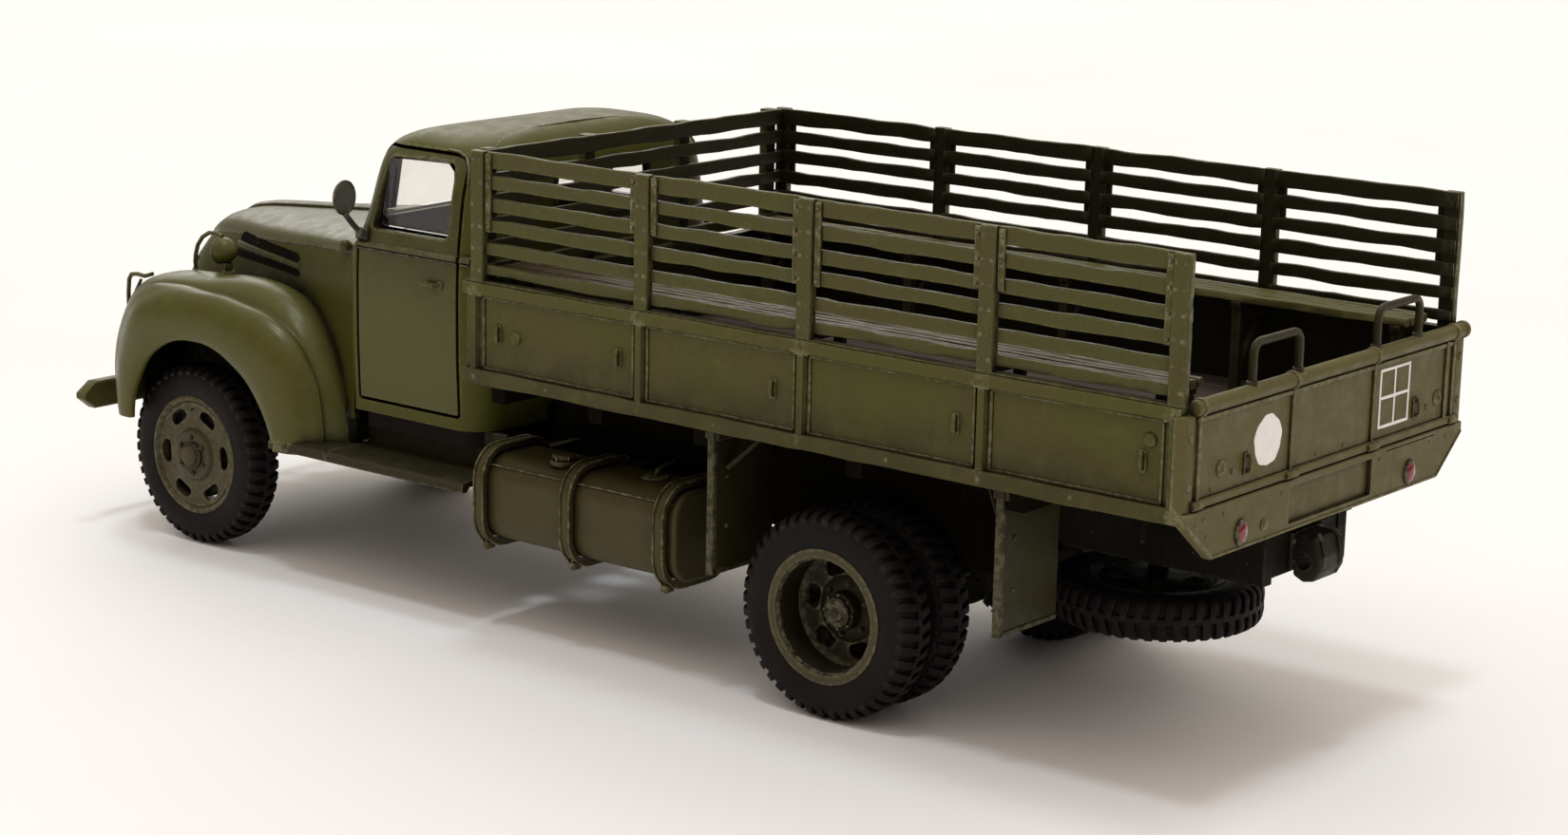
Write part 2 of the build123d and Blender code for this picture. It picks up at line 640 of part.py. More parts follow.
with BuildPart() as rear_valance:
    with BuildSketch(Plane.XZ.offset(-(bed_rear_y))):
        with BuildLine():
            Polyline((-15.3, 16.85), (-15.3, 16.1), (-12.4, 13.9), (12.4, 13.9), (15.3, 16.1), (15.3, 16.85), close=True)
        make_face()
    extrude(amount=-0.6)
    with Locations((0, bed_rear_y + 0.55, 15.4)):
        Box(9.1, 0.5, 2.0, mode=Mode.SUBTRACT)

with BuildPart() as tail_lights:
    for x in (-9.0, 9.6):
        with BuildSketch(Plane.XZ.offset(-(bed_rear_y + 0.6))):
            with Locations((x, 14.9)):
                Circle(0.65)
        extrude(amount=-0.35)

tow_eye_radius, tow_eye_width = 0.5, 2.6
tow_eye_y, tow_eye_z = 23.8, 11.45
with BuildPart() as tow_hook:
    with Locations((0, y_from_axle(23.2), 12.0)):
        Box(3.6, 0.2, 2.2)
    with Locations((0, y_from_axle(23.85), 12.3)):
        Box(tow_eye_width, 1.5, 1.7)
    with BuildSketch(Plane.YZ.offset(-tow_eye_width / 2)):
        with BuildLine():
            Polyline((y_from_axle(23.1), 11.6), (y_from_axle(23.1), 10.9), (y_from_axle(23.35), 10.45), (y_from_axle(23.8), 10.3),
                     (y_from_axle(24.4), 10.5), (y_from_axle(24.8), 11.0), (y_from_axle(24.9), 11.6), (y_from_axle(24.6), 12.4), (y_from_axle(23.1), 12.4), close=True)
        make_face()
    extrude(amount=tow_eye_width)
    with BuildSketch(Plane.YZ.offset(-2.0)):
        with Locations((y_from_axle(tow_eye_y), tow_eye_z)):
            Circle(tow_eye_radius)
    extrude(amount=4.0, mode=Mode.SUBTRACT)

# ---------------------------------------------------------------- wheels
def tyre_section_points(x_mid, width, outer, inner):
    h = width / 2
    return [
        (x_mid - h * 0.7, inner), (x_mid - h * 0.86, inner + 0.5), (x_mid - h, inner + 1.5), (x_mid - h * 0.9, outer - 0.25),
        (x_mid - h * 0.74, outer), (x_mid + h * 0.74, outer), (x_mid + h * 0.9, outer - 0.25), (x_mid + h, inner + 1.5),
        (x_mid + h * 0.86, inner + 0.5), (x_mid + h * 0.7, inner),
    ]


def revolve_profile(points, y):
    """Ring from (x, radius) pairs, turned about the axle line at station y."""
    with BuildPart(mode=Mode.PRIVATE) as ring:
        with BuildSketch(Plane.XZ.offset(-y)):
            with BuildLine():
                Polyline(*[(x, hub_z + r) for x, r in points], close=True)
            make_face()
        revolve(axis=Axis((0, y, hub_z), (1, 0, 0)))
    return ring.part


wheel_table = [
    ("front_left", 1, front_axle_y, [front_wheel_x]),
    ("front_right", -1, front_axle_y, [front_wheel_x]),
    ("rear_left", 1, rear_axle_y, [rear_outer_x, rear_inner_x]),
    ("rear_right", -1, rear_axle_y, [rear_outer_x, rear_inner_x]),
]
bore = spindle_radius + running_clearance
wheel_parts = {}
for wheel_name, side, y, planes in wheel_table:
    with BuildPart() as tyre:
        for x in planes:
            add(revolve_profile([(side * px, r) for px, r in tyre_section_points(x, tyre_width, tyre_radius, rim_seat_radius)], y))
    wheel_parts["tyre_" + wheel_name] = tyre
    x = planes[0]
    if len(planes) == 1:
        # convex pressed disc in a wide rim, with a hub boss
        disc_profile = [
            (x - 1.3, 3.55), (x - 1.3, 3.32), (x + 0.55, 3.32), (x + 0.7, 2.2), (x + 0.75, 1.5), (x - 0.6, 1.3), (x - 0.6, bore),
            (x + 1.2, bore), (x + 1.55, 1.2), (x + 1.5, 1.45), (x + 1.15, 1.7), (x + 1.15, 2.4), (x + 1.05, 3.4), (x + 1.4, 3.7), (x + 1.45, rim_radius), (x + 1.16, rim_radius), (x + 0.94, 3.55),
        ]
        hole_radius, hole_circle, hole_from = 0.46, 2.78, x + 0.2
    else:
        # deep-dished outer disc, its rim carried through both tyres
        x2 = planes[1]
        disc_profile = [
            (x2 - 1.3, 3.55), (x2 - 1.3, 3.1), (x - 1.15, 3.1), (x - 1.35, 2.2), (x - 1.3, 1.3), (x2 + 0.6, 1.2), (x2 + 0.6, bore),
            (x - 0.15, bore), (x, 0.9), (x - 0.2, 1.2), (x - 0.9, 1.4), (x - 0.95, 2.3), (x - 0.75, 3.05), (x + 0.9, 3.2), (x + 1.4, 3.4), (x + 1.45, rim_radius), (x + 1.16, rim_radius), (x + 0.94, 3.55),
        ]
        hole_radius, hole_circle, hole_from = 0.5, 2.4, x - 2.0
    with BuildPart() as disc:
        add(revolve_profile([(side * px, r) for px, r in disc_profile], y))
        with BuildSketch(Plane.YZ.offset(side * hole_from)):
            with Locations((y, hub_z)):
                with PolarLocations(hole_circle, 6):
                    Circle(hole_radius)
        extrude(amount=side * 1.6, mode=Mode.SUBTRACT)
    wheel_parts["disc_" + wheel_name] = disc

# spare wheel lying flat under the tail of the frame
spare_y, spare_z = y_from_axle(13.7), 7.4
with BuildPart() as spare_wheel:
    with BuildSketch(Plane.XZ.offset(-spare_y)):
        with BuildLine():
            Polyline(*[(r, spare_z + x) for x, r in tyre_section_points(0, tyre_width, tyre_radius, 3.0)], close=True)
        make_face()
    revolve(axis=Axis((0, spare_y, spare_z), (0, 0, 1)))
    with Locations((0, spare_y, spare_z)):
        Cylinder(3.2, 0.6)

with BuildPart() as spare_carrier:
    with Locations((0, spare_y, 10.95)):
        Box(2 * (frame_half_width - rail_thickness), 1.6, 0.6)
    with Locations((0, spare_y, 9.2)):
        Cylinder(0.6, 2.9)

# ---------------------------------------------------------------- export
pieces = {
    "frame_rails": frame_rails, "crossmembers": crossmembers, "front_bumper": front_bumper,
    "front_axle": front_axle, "rear_axle": rear_axle, "leaf_springs": leaf_springs,
    "engine_block": engine_block, "propeller_shaft": propeller_shaft, "exhaust_silencer": exhaust_silencer,
    "cab_roof": cab_roof, "cab_back": cab_back, "cab_front": cab_front_panel, "cab_floor": cab_floor,
    "dashboard": dashboard, "steering_wheel": steering_wheel, "cab_bench": cab_bench, "cab_glass": cab_glass,
    "hood": hood, "nose_shell": nose_shell, "grille_bars": grille_bars, "running_boards": running_boards,
    "headlights": headlights, "lamp_guards": lamp_guards, "door_mirror": door_mirror,
    "fuel_tank": fuel_tank, "tank_straps": tank_straps, "mud_boards": mud_boards,
    "long_sills": long_sills, "cross_sills": cross_sills, "bed_floor": bed_floor, "bed_front": bed_front,
    "rack_front": rack_front, "tailgate": tailgate, "tailgate_handles": tailgate_handles,
    "rear_valance": rear_valance, "tail_lights": tail_lights, "tow_hook": tow_hook,
    "spare_wheel": spare_wheel, "spare_carrier": spare_carrier,
}
pieces.update(doors)
pieces.update(fenders)
pieces.update(bed_sides)
pieces.update(racks)
pieces.update(benches)
pieces.update(wheel_parts)

os.makedirs("parts", exist_ok=True)
for name, builder in pieces.items():
    builder.part.label = name
    export_step(builder.part, "parts/" + name + ".step")
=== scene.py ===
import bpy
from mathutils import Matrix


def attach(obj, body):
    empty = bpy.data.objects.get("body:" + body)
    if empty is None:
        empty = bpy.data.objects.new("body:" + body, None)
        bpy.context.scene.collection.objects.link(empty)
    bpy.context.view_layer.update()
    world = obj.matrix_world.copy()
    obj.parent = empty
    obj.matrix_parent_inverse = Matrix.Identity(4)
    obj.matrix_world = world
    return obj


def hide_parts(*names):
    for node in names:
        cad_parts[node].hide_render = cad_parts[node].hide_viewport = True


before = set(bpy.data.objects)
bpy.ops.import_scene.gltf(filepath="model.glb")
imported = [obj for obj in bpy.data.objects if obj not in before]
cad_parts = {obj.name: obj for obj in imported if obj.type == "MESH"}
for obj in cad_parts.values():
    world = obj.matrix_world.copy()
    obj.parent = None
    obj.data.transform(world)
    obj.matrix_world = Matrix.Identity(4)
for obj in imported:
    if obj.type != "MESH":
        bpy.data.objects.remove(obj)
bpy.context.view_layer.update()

import math
import random

import bmesh
import bpy
from mathutils import Matrix, Vector, noise

# All making below is in millimetres, with y measured from the rear axle, and is put into the row frame in metres by at().
RY = 21.0                 # rear axle station in the row frame
FRONT_Y = -55.7           # front axle, from the rear axle
HUB = 6.2                 # axle height and tyre radius
BODY = "truck_body"
rng = random.Random(72)


def at(x, y, z):
    return Vector((x * 0.001, (y + RY) * 0.001, z * 0.001))


# =====================================================================  materials
class Nodes:
    """Short names for the node types that the finishes are made of."""

    def __init__(self, name):
        self.material = bpy.data.materials.new(name)
        self.material.use_nodes = True
        self.tree = self.material.node_tree
        self.tree.nodes.clear()
        out = self.tree.nodes.new("ShaderNodeOutputMaterial")
        self.bsdf = self.tree.nodes.new("ShaderNodeBsdfPrincipled")
        self.tree.links.new(self.bsdf.outputs[0], out.inputs["Surface"])
        coord = self.tree.nodes.new("ShaderNodeTexCoord")
        mapping = self.tree.nodes.new("ShaderNodeMapping")
        mapping.inputs["Scale"].default_value = (1000, 1000, 1000)
        self.tree.links.new(coord.outputs["Object"], mapping.inputs["Vector"])
        self.mm = mapping.outputs[0]

    def put(self, socket, value):
        if isinstance(value, bpy.types.NodeSocket):
            self.tree.links.new(value, socket)
        elif value is not None:
            if hasattr(socket.default_value, "__len__") and len(socket.default_value) == 4 and len(value) == 3:
                value = (*value, 1.0)
            socket.default_value = value

    def noise(self, scale, detail=4.0, rough=0.55, distort=0.0, stretch=None, shift=None):
        vector = self.mm
        if stretch or shift:
            m = self.tree.nodes.new("ShaderNodeMapping")
            m.inputs["Scale"].default_value = stretch or (1, 1, 1)
            m.inputs["Location"].default_value = shift or (0, 0, 0)
            self.tree.links.new(vector, m.inputs["Vector"])
            vector = m.outputs[0]
        n = self.tree.nodes.new("ShaderNodeTexNoise")
        n.inputs["Scale"].default_value = scale
        n.inputs["Detail"].default_value = detail
        n.inputs["Roughness"].default_value = rough
        n.inputs["Distortion"].default_value = distort
        self.tree.links.new(vector, n.inputs["Vector"])
        return n.outputs["Fac"]

    def span(self, value, low, high, to_low=0.0, to_high=1.0):
        n = self.tree.nodes.new("ShaderNodeMapRange")
        n.interpolation_type = "SMOOTHSTEP"
        self.put(n.inputs["Value"], value)
        n.inputs["From Min"].default_value = low
        n.inputs["From Max"].default_value = high
        n.inputs["To Min"].default_value = to_low
        n.inputs["To Max"].default_value = to_high
        return n.outputs["Result"]

    def math(self, operation, a, b=0.0, clamp=False):
        n = self.tree.nodes.new("ShaderNodeMath")
        n.operation = operation
        n.use_clamp = clamp
        self.put(n.inputs[0], a)
        self.put(n.inputs[1], b)
        return n.outputs[0]

    def mix(self, factor, a, b, blend="MIX"):
        n = self.tree.nodes.new("ShaderNodeMix")
        n.data_type = "RGBA"
        n.blend_type = blend
        n.clamp_factor = True
        self.put(n.inputs[0], factor)
        self.put(n.inputs[6], a)
        self.put(n.inputs[7], b)
        return n.outputs[2]

    def axis(self, name):
        n = self.tree.nodes.new("ShaderNodeSeparateXYZ")
        self.tree.links.new(self.mm, n.inputs[0])
        return n.outputs[name]

    def normal(self, name):
        geometry = self.tree.nodes.new("ShaderNodeNewGeometry")
        split = self.tree.nodes.new("ShaderNodeSeparateXYZ")
        self.tree.links.new(geometry.outputs["Normal"], split.inputs[0])
        return split.outputs[name]

    def occlusion(self, distance_mm, inside=False, samples=6):
        n = self.tree.nodes.new("ShaderNodeAmbientOcclusion")
        n.samples = samples
        n.inside = inside
        n.inputs["Distance"].default_value = distance_mm * 0.001
        return n.outputs["AO"]

    def bump(self, height, distance_mm, strength=1.0, onto=None):
        n = self.tree.nodes.new("ShaderNodeBump")
        n.inputs["Strength"].default_value = strength
        n.inputs["Distance"].default_value = distance_mm * 0.001
        self.put(n.inputs["Height"], height)
        if onto is not None:
            self.tree.links.new(onto, n.inputs["Normal"])
        return n.outputs[0]


def paint(name, base, warm, pale, wash_and_shade=(0.012, 0.009, 0.005), wash_and_shade_amount=0.9, wash_and_shade_reach=1.1, wear=0.55,
          rough=(0.36, 0.6), grain=0.012, shift=0.0, dirt_and_shade=0.5, shaded=None, shade=0.2, specular=0.20, height_darkening=None):
    """Satin hobby paint on moulded plastic: mottled colour, corners pin-washed dark and deepened with painted shade,
    pale worn edges, fine grain, and where asked, painted shade on faces turned inward and a darkening by height.
    """
    n = Nodes(name)
    s = (shift * 3.7, shift * 1.9, shift * 5.3)
    broad = n.noise(0.13, 3, 0.5, shift=s)
    middle = n.noise(0.9, 5, 0.6, 0.4, shift=s)
    fine = n.noise(7.0, 3, 0.6, shift=s)
    speck = n.noise(16.0, 2, 0.5, shift=s)
    colour = n.mix(n.span(broad, 0.38, 0.66), base, warm)
    colour = n.mix(n.span(middle, 0.5, 0.78, 0.0, 0.55), colour, pale)
    colour = n.mix(n.span(fine, 0.3, 0.7, 0.0, 0.32), colour, n.mix(0.5, colour, (0.02, 0.018, 0.01)))
    # rain streaks running down upright faces
    streak = n.noise(1.4, 4, 0.6, 0.2, stretch=(1.0, 1.0, 0.12), shift=s)
    colour = n.mix(n.math("MULTIPLY", n.span(streak, 0.52, 0.75), 0.30 * dirt_and_shade), colour, (0.045, 0.034, 0.020))
    # darkening towards one end of the height range, broken up by noise: painted shade on the cab below its belt and on
    # the mud boards under the bed, and a darkening towards the foot of the bed sides
    if height_darkening:
        depth = n.math("MULTIPLY", n.span(n.axis("Z"), height_darkening[0], height_darkening[1]), n.span(n.noise(0.42, 4, 0.62, 0.3, shift=s), 0.28, 0.62, 0.25, 1.0))
        colour = n.mix(n.math("MULTIPLY", depth, height_darkening[2]), colour, (0.022, 0.017, 0.008))
    # corners pin-washed dark and deepened with painted shade; the wider halo of darkening round them is painted shade
    # only
    near = n.occlusion(wash_and_shade_reach)
    wide = n.occlusion(wash_and_shade_reach * 3.4)
    ragged = n.span(middle, 0.25, 0.75, 0.72, 1.12)
    corner = n.math("MULTIPLY", n.span(near, 0.40, 0.93, 1.0, 0.0), ragged, clamp=True)
    halo = n.math("MULTIPLY", n.span(wide, 0.30, 0.97, 0.85, 0.0), ragged, clamp=True)
    colour = n.mix(n.math("MULTIPLY", halo, dirt_and_shade), colour, n.mix(0.70, colour, (0.016, 0.012, 0.006)))
    colour = n.mix(n.math("MULTIPLY", corner, wash_and_shade_amount), colour, wash_and_shade)
    # dry-brushed edges
    edge = n.span(n.occlusion(0.22, inside=True), 0.45, 0.80, 1.0, 0.0)
    edge = n.math("MULTIPLY", edge, n.span(n.noise(2.4, 4, 0.7, shift=s), 0.38, 0.66, 0.0, 1.0))
    edge = n.math("MULTIPLY", edge, n.span(near, 0.55, 0.9))
    bright = n.mix(0.62, pale, (0.34, 0.32, 0.20))
    colour = n.mix(n.math("MULTIPLY", edge, wear), colour, bright)
    if shaded:
        # painted shade: faces turned to the inside of the body are darkened
        inward = n.span(n.math("MULTIPLY", n.normal(shaded[0]), shaded[1]), 0.25, 0.7)
        colour = n.mix(inward, colour, n.mix(1.0 - shade, colour, (0.006, 0.005, 0.003)))
    n.put(n.bsdf.inputs["Base Color"], colour)
    n.put(n.bsdf.inputs["Roughness"], n.span(middle, 0.3, 0.7, rough[0], rough[1]))
    n.bsdf.inputs["Specular IOR Level"].default_value = specular
    n.bsdf.inputs["Specular Tint"].default_value = (1.0, 0.97, 0.76, 1.0)
    height = n.math("ADD", n.math("MULTIPLY", fine, 0.6), n.math("MULTIPLY", speck, 0.4))
    n.put(n.bsdf.inputs["Normal"], n.bump(height, grain * 2, 0.55))
    return n.material


def inside(name, base, pale):
    """Flat dark paint, mottled only: used for the seat, and as painted shade on the sheet inside the cab's walls and on
    the cab's floor.
    """
    n = Nodes(name)
    n.put(n.bsdf.inputs["Base Color"], n.mix(n.span(n.noise(0.6, 4, 0.6), 0.3, 0.75), base, pale))
    n.bsdf.inputs["Roughness"].default_value = 0.7
    n.bsdf.inputs["Specular IOR Level"].default_value = 0.12
    return n.material


OLIVE = (0.079, 0.081, 0.0165)
OLIVE_WARM = (0.084, 0.076, 0.020)
OLIVE_PALE = (0.118, 0.118, 0.036)
M = {
    "olive": paint("olive_paint", OLIVE, OLIVE_WARM, OLIVE_PALE, wash_and_shade_amount=0.95),
    # cab paint darkens with height from 18 to 22.6 mm: painted shade for the doors below the belt moulding
    "cab": paint("olive_cab", (0.0768, 0.0798, 0.0149), (0.0832, 0.0790, 0.0174), (0.1072, 0.1092, 0.0273), wash_and_shade_amount=0.95, wash_and_shade_reach=1.0,
                 wear=0.35, rough=(0.26, 0.40), grain=0.006, shift=1, dirt_and_shade=0.4, specular=0.26, height_darkening=(18.0, 22.6, 0.45)),
    "roof": paint("olive_roof", (0.0760, 0.0790, 0.0140), (0.0830, 0.0785, 0.0162), (0.1030, 0.1050, 0.0250), wash_and_shade_amount=0.95, wash_and_shade_reach=1.0,
                  wear=0.35, rough=(0.34, 0.48), grain=0.006, shift=1, dirt_and_shade=0.4, specular=0.12),
    # nose paint is the cab's olive made darker: painted shade on the hood sides, grille shell and louvres
    "nose": paint("olive_nose", (0.0520, 0.0540, 0.0075), (0.0550, 0.0520, 0.0088), (0.0680, 0.0690, 0.0130), wash_and_shade_amount=0.97, wash_and_shade_reach=1.4,
                  wear=0.3, rough=(0.30, 0.42), grain=0.006, shift=1, dirt_and_shade=0.6, specular=0.05),
    # bed sides and front wall: faces turned into the bed are darkened as painted shade, so each side has its own copy;
    # the sides also darken towards their foot
    "panel_left": paint("olive_side_left", OLIVE, OLIVE_WARM, OLIVE_PALE, wash_and_shade_amount=0.97, wash_and_shade_reach=1.3, shaded=("X", -1.0), shade=0.08, dirt_and_shade=0.8, height_darkening=(20.6, 17.2, 0.55)),
    "panel_right": paint("olive_side_right", OLIVE, OLIVE_WARM, OLIVE_PALE, wash_and_shade_amount=0.97, wash_and_shade_reach=1.3, shaded=("X", 1.0), shade=0.08, dirt_and_shade=0.8, height_darkening=(20.6, 17.2, 0.55)),
    "front_wall": paint("olive_front_wall", OLIVE, OLIVE_WARM, OLIVE_PALE, wash_and_shade_amount=0.97, wash_and_shade_reach=1.3, shaded=("Y", 1.0), shade=0.08, dirt_and_shade=0.8),
    # deep_shadow: near black paint standing in for deep shade, for slots and parts seen only in shadow
    "void": paint("deep_shadow", (0.0035, 0.003, 0.002), (0.004, 0.0032, 0.0024), (0.006, 0.005, 0.004), wear=0.0, rough=(0.7, 0.9), shift=16, specular=0.03),
    # rack boards: faces turned into the bed are darkened as painted shade, with one copy for each side and one for the
    # front rack
    "board_left": paint("olive_boards_left", (0.0764, 0.0784, 0.0223), (0.0811, 0.0736, 0.0236), (0.1154, 0.1152, 0.0422), wash_and_shade_reach=0.8, wear=0.85, shift=2, dirt_and_shade=0.7, shaded=("X", -1.0), shade=0.12),
    "board_right": paint("olive_boards_right", (0.0764, 0.0784, 0.0223), (0.0811, 0.0736, 0.0236), (0.1154, 0.1152, 0.0422), wash_and_shade_reach=0.8, wear=0.85, shift=2, dirt_and_shade=0.7, shaded=("X", 1.0), shade=0.12),
    "board": paint("olive_boards", (0.0764, 0.0784, 0.0223), (0.0811, 0.0736, 0.0236), (0.1154, 0.1152, 0.0422), wash_and_shade_reach=0.8, wear=0.8, shift=2, dirt_and_shade=0.7, shaded=("Y", 1.0), shade=0.2),
    # tailgate paint: faces turned into the bed are darkened as painted shade
    "tail": paint("olive_tail", (0.1042, 0.0941, 0.0288), (0.1153, 0.0970, 0.0331), (0.1395, 0.1300, 0.0475), wash_and_shade_reach=1.2, wear=0.6, shift=3, dirt_and_shade=0.7, shaded=("Y", -1.0), shade=0.10),
    "tank": paint("olive_tank", (0.0593, 0.0524, 0.0160), (0.0654, 0.0547, 0.0198), (0.0912, 0.0821, 0.0330), wash_and_shade_reach=1.3, wear=0.8, rough=(0.34, 0.52), shift=4, dirt_and_shade=0.9),
    "wheel": paint("olive_wheel", (0.0662, 0.0589, 0.0281), (0.0718, 0.0589, 0.0306), (0.1030, 0.0938, 0.0510), wash_and_shade_amount=0.97, wash_and_shade_reach=0.9, wear=0.45, shift=5, dirt_and_shade=1.0),
    # rear wheels' dish, hub and drum: the wheel's olive made far darker, painted shade in the deep dish
    "dish": paint("olive_dish", (0.0125, 0.0110, 0.0062), (0.0145, 0.0115, 0.0066), (0.0270, 0.0235, 0.0130), wash_and_shade_amount=0.97, wash_and_shade_reach=1.4, wear=0.8, shift=12, dirt_and_shade=1.0),
    # mud boards and handle loops: olive made darker as painted shade, darker still up towards the bed
    "mud": paint("olive_mud", (0.0310, 0.0292, 0.0088), (0.0340, 0.0292, 0.0098), (0.0470, 0.0446, 0.0150), wash_and_shade_reach=1.7, wear=0.4, shift=6, dirt_and_shade=1.0, height_darkening=(11.0, 15.0, 0.6)),
    "step": paint("olive_step", (0.0234, 0.0216, 0.0072), (0.0252, 0.0207, 0.0080), (0.0450, 0.0405, 0.0160), wash_and_shade_reach=1.6, wear=0.7, rough=(0.45, 0.65), shift=13, dirt_and_shade=0.9),
    "bench": paint("bench_green", (0.1200, 0.1200, 0.0446), (0.1280, 0.1160, 0.0446), (0.1920, 0.1880, 0.0806), wash_and_shade_reach=0.5, wear=0.85, shift=7, dirt_and_shade=0.5),
    "bench_near": paint("bench_brown", (0.060, 0.044, 0.019), (0.070, 0.048, 0.022), (0.12, 0.105, 0.05), wash_and_shade_reach=0.5, wear=0.7, shift=17, dirt_and_shade=0.8),
    "leg": paint("bench_leg", (0.022, 0.020, 0.011), (0.025, 0.020, 0.012), (0.040, 0.035, 0.022), wash_and_shade_reach=0.8, wear=0.4, shift=14, dirt_and_shade=0.8),
    "chassis": paint("chassis_black", (0.0060, 0.0055, 0.0043), (0.0073, 0.0063, 0.0050), (0.0126, 0.0112, 0.0091), wash_and_shade=(0.003, 0.0026, 0.002), wash_and_shade_reach=1.5, wear=0.2, rough=(0.5, 0.75), shift=8, specular=0.08),
    "iron": paint("dark_hardware", (0.017, 0.015, 0.011), (0.020, 0.016, 0.013), (0.036, 0.032, 0.024), wash_and_shade_reach=0.5, wear=0.7, rough=(0.35, 0.55), shift=9),
    "seat": inside("seat_brown", (0.012, 0.009, 0.008), (0.020, 0.015, 0.013)),
    # painted shade for the unlit inside of the cab
    "liner": inside("cab_inside", (0.009, 0.007, 0.0065), (0.015, 0.011, 0.010)),
    "black": paint("black_plastic", (0.008, 0.0075, 0.007), (0.010, 0.008, 0.0075), (0.018, 0.016, 0.015), wear=0.3, rough=(0.4, 0.55), shift=11),
}


def rubber():
    n = Nodes("tyre_black")
    broad, fine, grit = n.noise(0.35, 4, 0.6), n.noise(5.0, 4, 0.65), n.noise(20.0, 2, 0.5)
    colour = n.mix(n.span(broad, 0.35, 0.7), (0.0070, 0.0056, 0.0050), (0.0115, 0.0090, 0.0080))
    # painted shade in the tread's hollows
    near = n.occlusion(0.6)
    colour = n.mix(n.span(near, 0.45, 0.95, 0.75, 0.0), colour, (0.0035, 0.003, 0.0028))
    edge = n.math("MULTIPLY", n.span(n.occlusion(0.16, inside=True), 0.4, 0.8, 1.0, 0.0), n.span(n.noise(1.7, 4, 0.7), 0.42, 0.68))
    colour = n.mix(n.math("MULTIPLY", edge, 0.5), colour, (0.040, 0.036, 0.032))
    colour = n.mix(n.span(fine, 0.55, 0.85, 0.0, 0.35), colour, (0.021, 0.0175, 0.0155))
    n.put(n.bsdf.inputs["Base Color"], colour)
    n.put(n.bsdf.inputs["Roughness"], n.span(fine, 0.3, 0.7, 0.5, 0.72))
    n.bsdf.inputs["Specular IOR Level"].default_value = 0.14
    n.put(n.bsdf.inputs["Normal"], n.bump(n.math("ADD", fine, n.math("MULTIPLY", grit, 0.5)), 0.02, 0.5))
    return n.material


def deck():
    """Worn brown planks: grain drawn out along the bed, a shade to each plank, pale scuffs."""
    n = Nodes("deck_brown")
    grain = n.noise(2.2, 6, 0.7, 0.6, stretch=(3.0, 0.16, 1.0))
    scuff = n.noise(0.55, 6, 0.75, 0.8, stretch=(1.0, 0.35, 1.0))
    plank = n.math("FLOOR", n.math("DIVIDE", n.axis("X"), 2.36))
    shade = n.tree.nodes.new("ShaderNodeTexWhiteNoise")
    shade.noise_dimensions = "1D"
    n.put(shade.inputs["W"], plank)
    colour = n.mix(n.span(grain, 0.3, 0.7), (0.024, 0.015, 0.009), (0.056, 0.037, 0.023))
    colour = n.mix(n.math("MULTIPLY", shade.outputs["Value"], 0.5), colour, (0.024, 0.014, 0.009))
    colour = n.mix(n.span(scuff, 0.52, 0.72, 0.0, 0.75), colour, (0.13, 0.088, 0.056))
    # painted shade where the planks meet the bed's sides and fittings
    colour = n.mix(n.span(n.occlusion(1.6), 0.3, 0.95, 0.85, 0.0), colour, (0.010, 0.007, 0.004))
    n.put(n.bsdf.inputs["Base Color"], colour)
    n.put(n.bsdf.inputs["Roughness"], n.span(grain, 0.3, 0.7, 0.55, 0.85))
    n.put(n.bsdf.inputs["Normal"], n.bump(grain, 0.05, 0.6))
    return n.material


def glazing():
    n = Nodes("clear_glazing")
    smear = n.noise(0.5, 4, 0.6)
    n.put(n.bsdf.inputs["Base Color"], n.mix(n.span(smear, 0.3, 0.8), (0.93, 0.93, 0.91), (0.86, 0.86, 0.83)))
    n.bsdf.inputs["Transmission Weight"].default_value = 1.0
    n.bsdf.inputs["IOR"].default_value = 1.35
    n.bsdf.inputs["Roughness"].default_value = 0.0
    return n.material


def lens(name, colour, deep):
    n = Nodes(name)
    spot = n.noise(3.0, 3, 0.6)
    body = n.mix(n.span(spot, 0.35, 0.7), colour, deep)
    # painted shade round the lens's rim
    body = n.mix(n.span(n.occlusion(0.5), 0.4, 0.95, 0.8, 0.0), body, (0.02, 0.004, 0.003))
    n.put(n.bsdf.inputs["Base Color"], body)
    n.put(n.bsdf.inputs["Roughness"], n.span(spot, 0.3, 0.7, 0.12, 0.3))
    n.bsdf.inputs["Coat Weight"].default_value = 0.6
    n.put(n.bsdf.inputs["Normal"], n.bump(spot, 0.03, 0.3))
    return n.material


def white_marking():
    """Brushed white paint, thin at its edges, with a yellowed bloom and small chips."""
    n = Nodes("white_marking")
    chip, stain = n.noise(4.5, 4, 0.7), n.noise(0.9, 4, 0.6)
    colour = n.mix(n.span(stain, 0.35, 0.75), (0.96, 0.96, 0.94), (0.90, 0.89, 0.84))
    colour = n.mix(n.span(chip, 0.66, 0.74), colour, (0.20, 0.18, 0.10))
    n.put(n.bsdf.inputs["Base Color"], colour)
    n.bsdf.inputs["Roughness"].default_value = 0.62
    n.put(n.bsdf.inputs["Normal"], n.bump(chip, 0.015, 0.4))
    return n.material


def mirror_glass():
    n = Nodes("mirror_face")
    smear = n.noise(1.2, 4, 0.6)
    n.put(n.bsdf.inputs["Base Color"], n.mix(smear, (0.20, 0.20, 0.18), (0.30, 0.30, 0.27)))
    n.bsdf.inputs["Metallic"].default_value = 0.7
    n.put(n.bsdf.inputs["Roughness"], n.span(smear, 0.3, 0.7, 0.3, 0.45))
    return n.material


M["rubber"] = rubber()
M["deck"] = deck()
M["glass"] = glazing()
M["red"] = lens("red_lens", (0.20, 0.010, 0.010), (0.10, 0.004, 0.005))
M["lamp"] = lens("lamp_glass", (0.42, 0.42, 0.38), (0.30, 0.30, 0.27))
M["white"] = white_marking()
M["mirror"] = mirror_glass()


